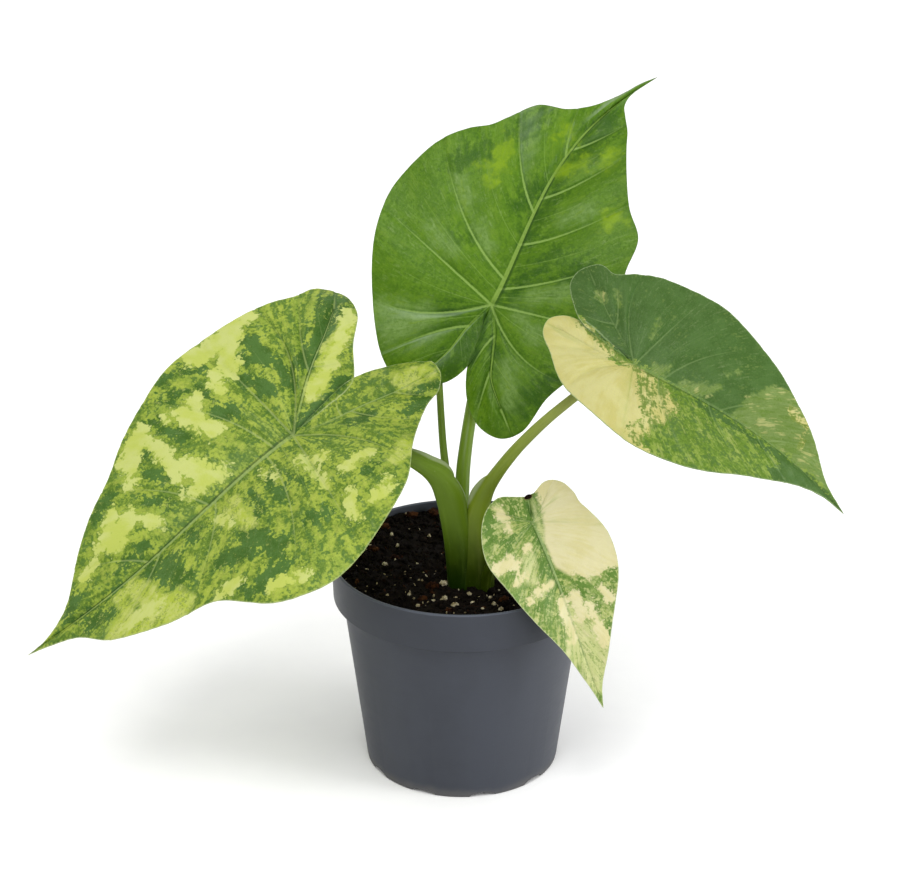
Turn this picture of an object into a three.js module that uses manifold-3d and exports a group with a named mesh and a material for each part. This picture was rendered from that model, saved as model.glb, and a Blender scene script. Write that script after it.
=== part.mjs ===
// Variegated giant taro in a round plastic nursery pot.
// Millimetres, +Z up. The origin is on the pot's axis, on the surface that the pot stands on.
// Five leaf blades stand on petioles that rise from a short stem, and potting mix fills the pot.
import * as THREE from 'three';
import Module from 'manifold-3d';
import { mergeVertices } from 'three/addons/utils/BufferGeometryUtils.js';

const wasm = await Module();
wasm.setup();

// Pot: thin wall, a deep straight rim band, a shoulder under it and a notched foot.
const POT_HEIGHT = 102;
const RIM_RADIUS = 60;
const RIM_BAND_HEIGHT = 19;
const RIM_BAND_TAPER = 0.7;
const SHOULDER_RADIUS = 55.1;
const FOOT_RADIUS = 44.4;
const WALL = 1.5;
const LIP_ROUND = 0.5;
const POT_SIDES = 72;
const NOTCH_COUNT = 10;
const NOTCH_WIDTH = 12;
const NOTCH_HEIGHT = 2.3;
const NOTCH_DEPTH = 7;
const NOTCH_SIDES = 20;
const NOTCH_TURN = -6;

// Potting mix, with a round hole for the plant in front of its middle.
const GAP = 0.35;
const SOIL_LEVEL = 96;
const SOIL_LUMP = 0.9;
const SOIL_DIP = 2.2;
const SOIL_DIP_REACH = 26;
const SOIL_SIDES = 48;
const SOIL_RINGS = [51, 44, 37, 30, 23, 16, 8, 0];
const PLANT_X = 2;
const PLANT_Y = -11.5;
const HOLE_RADIUS = 14.2;
const HOLE_FLOOR = 62;
const HOLE_SIDES = 32;

// The buried stem that the petioles rise from.
const STEM_RADIUS = 12.5;
const STEM_TOP = 87;
const STEM_CROWN = 4;
const STEM_FOOT = 6;
const STEM_SIDES = 24;

// Blades and petioles.
const BLADE_THICKNESS = 0.8;
const RIB_DEPTH = 1.6;
const RIB_END_DEPTH = 0.3;
const OUTLINE_STEPS = 30;
const FAN_STEPS = 15;
const BASE_SWEEP = 1.35;
const RINGS = [0, 0.05, 0.16, 0.3, 0.45, 0.6, 0.75, 0.88, 1];
const MIDRIB_FLAT = 4;
const BOW_SKEW = 1.3;
const LOBE_BLEND = 15;
const WAVE_FADE = 4;
const RIGHT_WAVE_PHASE = 1.9;
const PETIOLE_SIDES = 12;
const PETIOLE_STEPS = 18;
const DOME_RINGS = 3;

// Each blade lies in its own plane: x runs along the midrib to the tip, y to the left of it,
// z up from the upper face, and the petiole joins it at 0, 0. Heading, pitch and roll are in
// degrees. The outline runs from the sinus round each lobe to the tip, with left at y > 0.
const LEAVES = {
  leaf_1: {
    junction: [-75, -20, 171],
    heading: -154,
    pitch: -23,
    roll: -22,
    length: 153,
    halfWidth: 70,
    bow: 9.6,
    fold: 0.28,
    sag: 12,
    droop: 0.003,
    lobeDrop: 8,
    wave: 1.6,
    waves: 5,
    sinus: [-4, -1.2],
    left: [
      [-20, -5.3], [-34, -8.4], [-46, -10], [-58, -9.6], [-68, -6], [-74, 4], [-69, 13],
      [-57, 21], [-41, 36], [-24, 58], [-4, 70.5], [26, 79.3], [46, 75.7], [54, 71], [60, 64],
      [71.5, 51], [94, 43.8], [115.5, 31.5], [129.5, 13.5], [143, 5],
    ],
    right: [
      [-20, -6.4], [-36, -12.9], [-48, -26.5], [-60, -43], [-61.5, -57], [-52, -66.5],
      [-40, -65], [-27, -66.5], [0, -69], [22, -66], [43, -56.5], [62.5, -47], [78, -34],
      [95.5, -23], [111, -13.5], [125, -3], [134, 0.6], [143, 1.8],
    ],
    color: 0x9aa83a,
  },
  leaf_2: {
    junction: [13, 38, 210],
    heading: 33,
    pitch: 47,
    roll: 39,
    length: 132,
    halfWidth: 62,
    bow: 11.9,
    fold: 0.28,
    sag: 8,
    droop: 0.0015,
    lobeDrop: 6,
    wave: 1.4,
    waves: 5,
    sinus: [-5, -1.1],
    left: [
      [-16, -3.3], [-27, -4.9], [-40, -3], [-49, 7], [-52, 17], [-48.5, 26], [-36, 39.5],
      [-16, 54.5], [2, 63.5], [20, 67.7], [46, 63], [60.5, 54.5], [68, 47.8], [75.5, 43.7],
      [88, 35.8], [94, 24], [102, 16.3], [112, 10.4], [123, 6.4],
    ],
    right: [
      [-16, -3.9], [-29, -8.2], [-42.5, -16.5], [-49, -28], [-48, -39], [-40, -45.5], [-22, -47],
      [-4, -52], [20, -53], [45, -43.5], [61, -39], [70.5, -27.5], [82.5, -17.5],
      [94.5, -9], [105, -0.8], [116, 4.4], [124, 2.6],
    ],
    color: 0x5f9e3c,
  },
  leaf_3: {
    junction: [74, -32, 210],
    heading: -24,
    pitch: -22,
    roll: 23,
    length: 111,
    halfWidth: 52,
    bow: 4.5,
    fold: 0.42,
    sag: 10,
    droop: 0.003,
    lobeDrop: 5,
    wave: 1.2,
    waves: 4,
    sinus: [-5, 1.3],
    left: [
      [-16, 4.4], [-30, 8.9], [-39, 15], [-45, 23], [-44, 30], [-37, 35], [-29, 33],
      [-20.5, 38.2], [-10, 43], [14, 44.2], [33, 40.6], [52, 35], [68, 25.5], [84, 16], [98, 6],
    ],
    right: [
      [-16, 4], [-30, 7], [-38.5, 6.2], [-43, 0.5], [-41, -9], [-33, -18], [-19, -33],
      [-3, -41], [17, -45.5], [35.5, -41.5], [52.5, -34.7], [68.8, -21.2], [85, -7], [99, -1],
    ],
    color: 0x3f7440,
  },
  leaf_4: {
    junction: [31, -38, 137],
    heading: -48,
    pitch: -52,
    roll: 21,
    length: 90,
    halfWidth: 32,
    bow: -0.8,
    fold: 0.3,
    sag: 5,
    droop: 0.005,
    lobeDrop: 3,
    wave: 0.7,
    waves: 4,
    sinus: [-4, 0.6],
    left: [
      [-9, 1.8], [-11, 2.8], [-11.2, 5.4], [-14.2, 11], [-14.2, 15], [-10.7, 19.7],
      [-4.6, 22], [0, 22.3], [5, 24.5], [17, 29], [30, 27.8], [46.6, 20.2], [65, 10], [80, 2.8],
    ],
    right: [
      [-9, 1], [-12, -1.2], [-14.3, -4.2], [-16, -10], [-12, -19], [-4, -25], [9, -28],
      [25, -23.7], [42, -17], [60, -9], [77, -3.5],
    ],
    color: 0x9fae5a,
  },
  leaf_5: {
    junction: [-16, 76, 226],
    heading: 98,
    pitch: -24,
    roll: -6,
    length: 74,
    halfWidth: 26,
    bow: 2,
    fold: 0.3,
    sag: 5,
    droop: 0.006,
    lobeDrop: 3,
    wave: 0.7,
    waves: 4,
    sinus: [-3, 0],
    left: [
      [-9, 1], [-16, 4], [-19, 10], [-16, 17], [-6, 22], [8, 24], [24, 21], [40, 14], [58, 6],
    ],
    right: [
      [-9, -1], [-16, -4], [-20, -10], [-17, -17], [-7, -22], [7, -24], [23, -22],
      [40, -14], [58, -6],
    ],
    color: 0x6f9a45,
  },
};

// Petioles, from the stem up: x, y, z of the middle, then half the width seen from the front and
// half the depth. The low, wide stretches are the sheaths. Each ends under its blade's junction,
// at a distance back toward the sinus and a distance below the blade.
const PETIOLES = {
  petiole_1: {
    leaf: 'leaf_1',
    way: [
      [-3.2, -15.6, 99, 3.1, 3.2], [-4.4, -16, 118, 4, 3.4], [-4.9, -16, 130, 5.5, 3.5],
      [-5.8, -16, 139.5, 6.6, 3.4], [-10.5, -16, 148.5, 5.4, 3.2], [-17.5, -16, 154, 3.8, 3],
      [-26, -16, 159, 3.3, 2.9], [-44, -17, 165, 3, 2.8],
    ],
    attach: [[14, 9.5, 2.7, 2.7], [0, 5.6, 2.4, 2.4]],
  },
  petiole_2: {
    leaf: 'leaf_2',
    way: [
      [-0.6, -6.4, 99, 3, 3], [-0.8, -5, 118, 3.3, 3.1], [-0.3, 0, 132, 3.3, 3.1],
      [0.3, 5, 143, 3.2, 3], [1.9, 13, 154, 3, 3], [4.1, 23, 164.5, 2.9, 2.9],
      [6.2, 32, 174, 2.8, 2.8],
    ],
    attach: [[13, 12, 2.5, 2.5], [0, 5.4, 2.2, 2.2]],
  },
  petiole_3: {
    leaf: 'leaf_3',
    way: [
      [5.2, -13, 99, 4.2, 3.1], [4.9, -13, 117, 4.2, 3.2], [7, -13.6, 129, 4.7, 3.2],
      [9, -14, 137.5, 4.1, 3.1], [12.2, -15, 145, 3.3, 2.9], [19, -18, 157, 2.8, 2.7],
      [27, -21, 168.5, 2.5, 2.5], [42, -25, 185.5, 2.2, 2.2],
    ],
    attach: [[9, 14.4, 1.9, 1.9], [0, 5.2, 1.9, 1.9]],
  },
  petiole_4: {
    leaf: 'leaf_4',
    way: [[10, -18.8, 98, 2.7, 2.7], [10.8, -20, 109, 2.5, 2.5], [17, -26, 122, 2, 2]],
    attach: [[4, 10, 1.8, 1.8], [0, 4.9, 1.7, 1.7]],
  },
  petiole_5: {
    leaf: 'leaf_5',
    way: [
      [-5.4, -3, 99, 2, 2], [-6.9, 0, 118, 2, 2], [-7.3, 4, 138, 1.9, 1.9],
      [-9, 12, 154, 1.7, 1.7], [-10.4, 25, 173, 1.6, 1.6], [-11.8, 42, 196, 1.5, 1.5],
    ],
    attach: [[6, 13, 1.5, 1.5], [0, 4.7, 1.4, 1.4]],
  },
};

const POT_COLOR = 0x4f545a;
const SOIL_COLOR = 0x241c17;
const STEM_COLOR = 0x4c5a2a;
const PETIOLE_COLOR = 0x74883a;

const radians = THREE.MathUtils.degToRad;

function finishGeometry(positions, indices) {
  const geometry = new THREE.BufferGeometry();
  geometry.setAttribute('position', new THREE.Float32BufferAttribute(positions, 3));
  geometry.setIndex(indices);
  geometry.computeVertexNormals();
  return geometry;
}

function dropCollapsed(indices) {
  const kept = [];
  for (let i = 0; i < indices.length; i += 3) {
    const [a, b, c] = [indices[i], indices[i + 1], indices[i + 2]];
    if (a !== b && b !== c && c !== a) {
      kept.push(a, b, c);
    }
  }
  return kept;
}

// Closed skin of rings between two end points: pointAt(row, angle), with rows 0 and last points.
function closedSkin(rows, sides, pointAt) {
  const positions = [...pointAt(0, 0)];
  const indices = [];
  for (let row = 1; row < rows - 1; row++) {
    for (let side = 0; side < sides; side++) {
      positions.push(...pointAt(row, (2 * Math.PI * side) / sides));
    }
  }
  positions.push(...pointAt(rows - 1, 0));
  const last = (rows - 2) * sides + 1;
  const vertex = (row, side) => {
    if (row === 0) {
      return 0;
    }
    return row === rows - 1 ? last : 1 + (row - 1) * sides + (side % sides);
  };
  for (let row = 0; row < rows - 1; row++) {
    for (let side = 0; side < sides; side++) {
      const a = vertex(row, side);
      const b = vertex(row, side + 1);
      const c = vertex(row + 1, side + 1);
      const d = vertex(row + 1, side);
      indices.push(a, b, c, a, c, d);
    }
  }
  return finishGeometry(positions, dropCollapsed(indices));
}

function toManifold(geometry) {
  const bare = geometry.clone();
  bare.deleteAttribute('normal');
  bare.deleteAttribute('uv');
  const merged = mergeVertices(bare, 1e-4);
  const vertProperties = new Float32Array(merged.attributes.position.array);
  const triVerts = new Uint32Array(dropCollapsed(Array.from(merged.index.array)));
  return new wasm.Manifold(new wasm.Mesh({ numProp: 3, vertProperties, triVerts }));
}

function fromManifold(solid) {
  const mesh = solid.getMesh();
  return finishGeometry(Array.from(mesh.vertProperties), Array.from(mesh.triVerts));
}

function makePot() {
  const bandBottom = POT_HEIGHT - RIM_BAND_HEIGHT;
  const bandRadius = RIM_RADIUS - RIM_BAND_TAPER;
  const profile = [
    [0, 0],
    [FOOT_RADIUS, 0],
    [SHOULDER_RADIUS, bandBottom],
    [bandRadius - LIP_ROUND, bandBottom],
    [bandRadius, bandBottom + LIP_ROUND],
    [RIM_RADIUS, POT_HEIGHT - LIP_ROUND],
    [RIM_RADIUS - LIP_ROUND, POT_HEIGHT],
    [RIM_RADIUS - WALL, POT_HEIGHT],
    [bandRadius - WALL, bandBottom + WALL],
    [SHOULDER_RADIUS - WALL, bandBottom + WALL],
    [FOOT_RADIUS - WALL, WALL],
    [0, WALL],
  ];
  const points = profile.map(([radius, height]) => new THREE.Vector2(radius, height));
  const shell = new THREE.LatheGeometry(points, POT_SIDES);
  shell.rotateX(Math.PI / 2);
  let pot = toManifold(shell);
  for (let i = 0; i < NOTCH_COUNT; i++) {
    const notch = new THREE.CylinderGeometry(1, 1, 2 * NOTCH_DEPTH, NOTCH_SIDES);
    notch.rotateZ(Math.PI / 2);
    notch.scale(1, NOTCH_WIDTH / 2, NOTCH_HEIGHT);
    notch.translate(FOOT_RADIUS, 0, 0);
    notch.rotateZ((i * 2 * Math.PI) / NOTCH_COUNT + radians(NOTCH_TURN));
    pot = pot.subtract(toManifold(notch));
  }
  return fromManifold(pot);
}

function soilTop(x, y) {
  const broad = Math.sin(0.21 * x + 1.3) * Math.cos(0.26 * y);
  const narrow = 0.6 * Math.sin(0.43 * y - 0.37 * x);
  const toPlant = Math.hypot(x - PLANT_X, y - PLANT_Y);
  const dip = SOIL_DIP * Math.exp(-((toPlant / SOIL_DIP_REACH) ** 2));
  return SOIL_LEVEL + SOIL_LUMP * (broad + narrow) - dip;
}

function makeSoil() {
  const skin = WALL + GAP;
  const ledge = POT_HEIGHT - RIM_BAND_HEIGHT + skin;
  const bandRadius = RIM_RADIUS - RIM_BAND_TAPER - skin;
  const below = [
    [0, skin],
    [FOOT_RADIUS - skin, skin],
    [SHOULDER_RADIUS - skin, ledge],
    [bandRadius, ledge],
  ];
  const topRadii = [bandRadius, ...SOIL_RINGS];
  const filling = closedSkin(below.length + topRadii.length, SOIL_SIDES, (row, angle) => {
    const top = row - below.length;
    const radius = top < 0 ? below[row][0] : topRadii[top];
    const [x, y] = [radius * Math.cos(angle), radius * Math.sin(angle)];
    return [x, y, top < 0 ? below[row][1] : soilTop(x, y)];
  });
  const hole = new THREE.CylinderGeometry(HOLE_RADIUS, HOLE_RADIUS, POT_HEIGHT, HOLE_SIDES);
  hole.rotateX(Math.PI / 2);
  hole.translate(PLANT_X, PLANT_Y, HOLE_FLOOR + POT_HEIGHT / 2);
  return fromManifold(toManifold(filling).subtract(toManifold(hole)));
}

function makeStem() {
  const bottom = HOLE_FLOOR + GAP;
  const profile = [
    [0, bottom],
    [0.8, bottom],
    [1, bottom + STEM_FOOT],
    [1, STEM_TOP - STEM_CROWN],
    [0.9, STEM_TOP],
    [0, STEM_TOP],
  ];
  return closedSkin(profile.length, STEM_SIDES, (row, angle) => {
    const [share, height] = profile[row];
    const radius = share * STEM_RADIUS;
    return [PLANT_X + radius * Math.cos(angle), PLANT_Y + radius * Math.sin(angle), height];
  });
}

function midribOffset(leaf, x) {
  const along = THREE.MathUtils.clamp(x / leaf.length, 0, 1);
  return leaf.bow * Math.sin(Math.PI * along ** BOW_SKEW);
}

// Height of the upper face: each half rises from the midrib and falls again to the margin, and
// the lobes hang behind the junction.
function bladeHeight(leaf, x, y) {
  const across = y - midribOffset(leaf, x);
  let height = leaf.fold * (Math.hypot(across, MIDRIB_FLAT) - MIDRIB_FLAT);
  height -= leaf.sag * (across / leaf.halfWidth) ** 2;
  if (x < 0) {
    height -= leaf.lobeDrop * (x / leaf.halfWidth) ** 2 * Math.min(1, Math.abs(y) / LOBE_BLEND);
  }
  return height;
}

// Bends the leaf downward along its length as if rolled on a large drum.
function droop(leaf, x, y, z) {
  const turn = leaf.droop * x;
  const reach = Math.sin(turn) * (1 / leaf.droop + z);
  const drop = z * Math.cos(turn) - (1 - Math.cos(turn)) / leaf.droop;
  return [reach, y, drop];
}

function outlineCurve(leaf, side) {
  const corners = [leaf.sinus, ...leaf[side], [leaf.length, 0]];
  const points = corners.map(([x, y]) => new THREE.Vector3(x, y, 0));
  return new THREE.CatmullRomCurve3(points, false, 'centripetal');
}

// One blade as two halves of spokes. The spokes fan out from the junction over the lobes, then
// leave the midrib one after another up to the tip, as the side veins do.
function makeBlade(leaf) {
  const top = [];
  const bottom = [];
  const faces = [];
  const margin = [];
  const known = new Map();
  const marginWave = (side, step, share) => {
    const taper = Math.min(1, step / WAVE_FADE, (OUTLINE_STEPS - step) / WAVE_FADE);
    const phase = side === 'left' ? 0 : RIGHT_WAVE_PHASE;
    const sway = Math.sin((2 * Math.PI * leaf.waves * step) / OUTLINE_STEPS + phase);
    return leaf.wave * share ** 3 * taper * sway;
  };
  const vertex = (side, step, ring, edge) => {
    const along = Math.max(0, (step - FAN_STEPS) / (OUTLINE_STEPS - FAN_STEPS)) ** BASE_SWEEP;
    const baseX = leaf.length * along;
    const baseY = midribOffset(leaf, baseX);
    const share = RINGS[ring];
    const x = THREE.MathUtils.lerp(baseX, edge.x, share);
    const y = THREE.MathUtils.lerp(baseY, edge.y, share);
    const key = `${Math.round(x * 1e4)},${Math.round(y * 1e4)}`;
    if (!known.has(key)) {
      const z = bladeHeight(leaf, x, y) + marginWave(side, step, share);
      const rib = ring === 0 ? THREE.MathUtils.lerp(RIB_DEPTH, RIB_END_DEPTH, along) : 0;
      known.set(key, top.length);
      top.push(droop(leaf, x, y, z));
      bottom.push(droop(leaf, x, y, z - BLADE_THICKNESS - rib));
    }
    return known.get(key);
  };
  for (const side of ['left', 'right']) {
    const edges = outlineCurve(leaf, side).getSpacedPoints(OUTLINE_STEPS);
    const grid = edges.map((edge, step) => RINGS.map((_, ring) => vertex(side, step, ring, edge)));
    for (let step = 0; step < OUTLINE_STEPS; step++) {
      for (let ring = 0; ring < RINGS.length - 1; ring++) {
        const [a, b] = [grid[step][ring], grid[step + 1][ring]];
        const [c, d] = [grid[step + 1][ring + 1], grid[step][ring + 1]];
        faces.push(...(side === 'left' ? [a, b, c, a, c, d] : [a, c, b, a, d, c]));
      }
      const [from, to] = [grid[step][RINGS.length - 1], grid[step + 1][RINGS.length - 1]];
      margin.push(side === 'left' ? [from, to] : [to, from]);
    }
  }
  const upper = dropCollapsed(faces);
  const count = top.length;
  const indices = [...upper];
  for (let i = 0; i < upper.length; i += 3) {
    indices.push(upper[i] + count, upper[i + 2] + count, upper[i + 1] + count);
  }
  for (const [from, to] of margin) {
    indices.push(from, to, to + count, from, to + count, from + count);
  }
  return finishGeometry([...top, ...bottom].flat(), indices);
}

function placeLeaf(object, leaf) {
  object.position.set(...leaf.junction);
  object.rotation.set(radians(leaf.roll), -radians(leaf.pitch), radians(leaf.heading), 'ZYX');
  object.updateMatrix();
}

// Point behind the junction (toward the sinus) and below the blade, in the plant's frame.
function underBlade(leaf, back, below) {
  const holder = new THREE.Object3D();
  placeLeaf(holder, leaf);
  return new THREE.Vector3(-back, 0, -below).applyMatrix4(holder.matrix);
}

// A petiole is an oval swept along its way with a domed end: the oval's width lies square to the
// depth direction, which keeps it turned to the front.
function makePetiole(petiole) {
  const leaf = LEAVES[petiole.leaf];
  const [firstX, firstY, , firstWide, firstDeep] = petiole.way[0];
  const start = [firstX, firstY, STEM_TOP + GAP, firstWide, firstDeep];
  const ends = petiole.attach.map(([back, below, wide, deep]) => [
    ...underBlade(leaf, back, below).toArray(), wide, deep,
  ]);
  const stations = [start, ...petiole.way, ...ends];
  const middle = stations.map(([x, y, z]) => new THREE.Vector3(x, y, z));
  const widths = stations.map(([, , , wide, deep]) => new THREE.Vector3(wide, deep, 0));
  const curve = new THREE.CatmullRomCurve3(middle, false, 'centripetal');
  const girth = new THREE.CatmullRomCurve3(widths, false, 'catmullrom', 0.3);
  const depthAxis = new THREE.Vector3(0, 1, 0);
  const rows = PETIOLE_STEPS + DOME_RINGS + 3;
  return closedSkin(rows, PETIOLE_SIDES, (row, angle) => {
    const share = THREE.MathUtils.clamp((row - 1) / PETIOLE_STEPS, 0, 1);
    const dome = Math.max(0, row - 1 - PETIOLE_STEPS) / (DOME_RINGS + 1);
    const shrink = row === 0 ? 0 : Math.cos((dome * Math.PI) / 2);
    const size = girth.getPoint(share);
    const along = row <= 1 ? new THREE.Vector3(0, 0, 1) : curve.getTangent(share);
    const across = depthAxis.clone().cross(along).normalize();
    const deep = along.clone().cross(across);
    return curve
      .getPoint(share)
      .addScaledVector(along, size.x * Math.sin((dome * Math.PI) / 2))
      .addScaledVector(across, size.x * shrink * Math.cos(angle))
      .addScaledVector(deep, size.y * shrink * Math.sin(angle))
      .toArray();
  });
}

function addMesh(group, name, geometry, color, roughness) {
  const material = new THREE.MeshStandardMaterial({ color, roughness, metalness: 0 });
  const mesh = new THREE.Mesh(geometry, material);
  mesh.name = name;
  group.add(mesh);
  return mesh;
}

const plant = new THREE.Group();
addMesh(plant, 'pot', makePot(), POT_COLOR, 0.55);
addMesh(plant, 'soil', makeSoil(), SOIL_COLOR, 0.95);
addMesh(plant, 'stem', makeStem(), STEM_COLOR, 0.6);
for (const [name, petiole] of Object.entries(PETIOLES)) {
  addMesh(plant, name, makePetiole(petiole), PETIOLE_COLOR, 0.5);
}
for (const [name, leaf] of Object.entries(LEAVES)) {
  placeLeaf(addMesh(plant, name, makeBlade(leaf), leaf.color, 0.45), leaf);
}

export default plant;
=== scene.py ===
"""Variegated giant taro in a 12 cm plastic nursery pot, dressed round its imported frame."""

import math

import bmesh
import bpy
import numpy as np
from mathutils import Matrix, Vector


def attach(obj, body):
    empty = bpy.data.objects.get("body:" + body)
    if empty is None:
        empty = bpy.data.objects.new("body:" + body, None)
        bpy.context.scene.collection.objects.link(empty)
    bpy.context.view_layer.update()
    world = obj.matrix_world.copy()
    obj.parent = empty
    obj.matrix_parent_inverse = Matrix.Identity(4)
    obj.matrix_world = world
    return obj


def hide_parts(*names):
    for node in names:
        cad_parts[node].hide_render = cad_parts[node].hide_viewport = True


bl_info = {
    "name": "Potted variegated taro",
    "version": (1, 0, 0),
    "blender": (4, 5, 0),
    "location": "View3D > Sidebar > Taro",
    "description": "Builds the blades, petioles, potting mix and nursery pot of a young taro",
    "category": "Add Mesh",
}

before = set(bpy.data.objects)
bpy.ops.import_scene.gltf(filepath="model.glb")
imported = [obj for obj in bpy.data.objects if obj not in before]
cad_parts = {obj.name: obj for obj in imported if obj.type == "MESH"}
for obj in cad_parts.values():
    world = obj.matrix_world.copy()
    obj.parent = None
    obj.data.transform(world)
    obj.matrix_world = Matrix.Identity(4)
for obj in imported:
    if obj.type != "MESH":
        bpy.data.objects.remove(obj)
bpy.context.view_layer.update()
MM = 0.001
TINY = 1e-9

# How much of the stage's light a plain paint sends back, and what its sheen adds.
PAINT = 0.70
SHINE = 0.006
# Direction of the light that the painted sheen and painted shade on the blades answer to.
LIGHT_FROM = np.array([-0.45, -0.45, 0.77])

# Mesh of a blade: gap between spokes, rings near the rib and near the margin in mm, and the rings
# between. Veins bend by a share of their length on their way to the margin.
SPOKE_GAP = 1.3
NEAR = np.array([0, 0.35, 0.7, 1.05, 1.45, 1.95, 2.6])
FAR = np.array([1.6, 0.9, 0.45, 0.18, 0])
MIDDLE_RINGS = 26
SIDE_SWEEP = 0.09
HUB_SWEEP = 0.13

# How far the tucked lobe lies under the other, and half the thickness of the scar, in mm.
TUCK_DEPTH = 1.6
SCAR_HALF_THICKNESS = 0.55

# Height in mm from which the petioles rise, their mesh, and the width of a wing in degrees.
PETIOLE_ROOT = 87.35
PETIOLE_RINGS = 110
PETIOLE_SIDES = 72
WING_SPREAD = 11

# Clearance of the soil to the pot and taper of the rim band in mm, and meshes of pot and soil.
SOIL_GAP = 0.35
BAND_TAPER = 0.7
POT_SIDES = 180
BED_SIDES = 160
BED_RINGS = 55

# Floor of the stage in mm.
FLOOR_REACH = 6000
FLOOR_CORNERS = ((-1, -1), (1, -1), (1, 1), (-1, 1))

# Camera fitted to the pot's rim and foot: focal length in pixels, width of the picture, place
# in metres and how far it looks down in degrees.
FOCAL_PIXELS = 2841.16
PICTURE_WIDTH = 900
SENSOR_WIDTH = 36
CAMERA_PLACE = (-0.0057, -1.1648, 0.6816)
CAMERA_PITCH = 24.24

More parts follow.
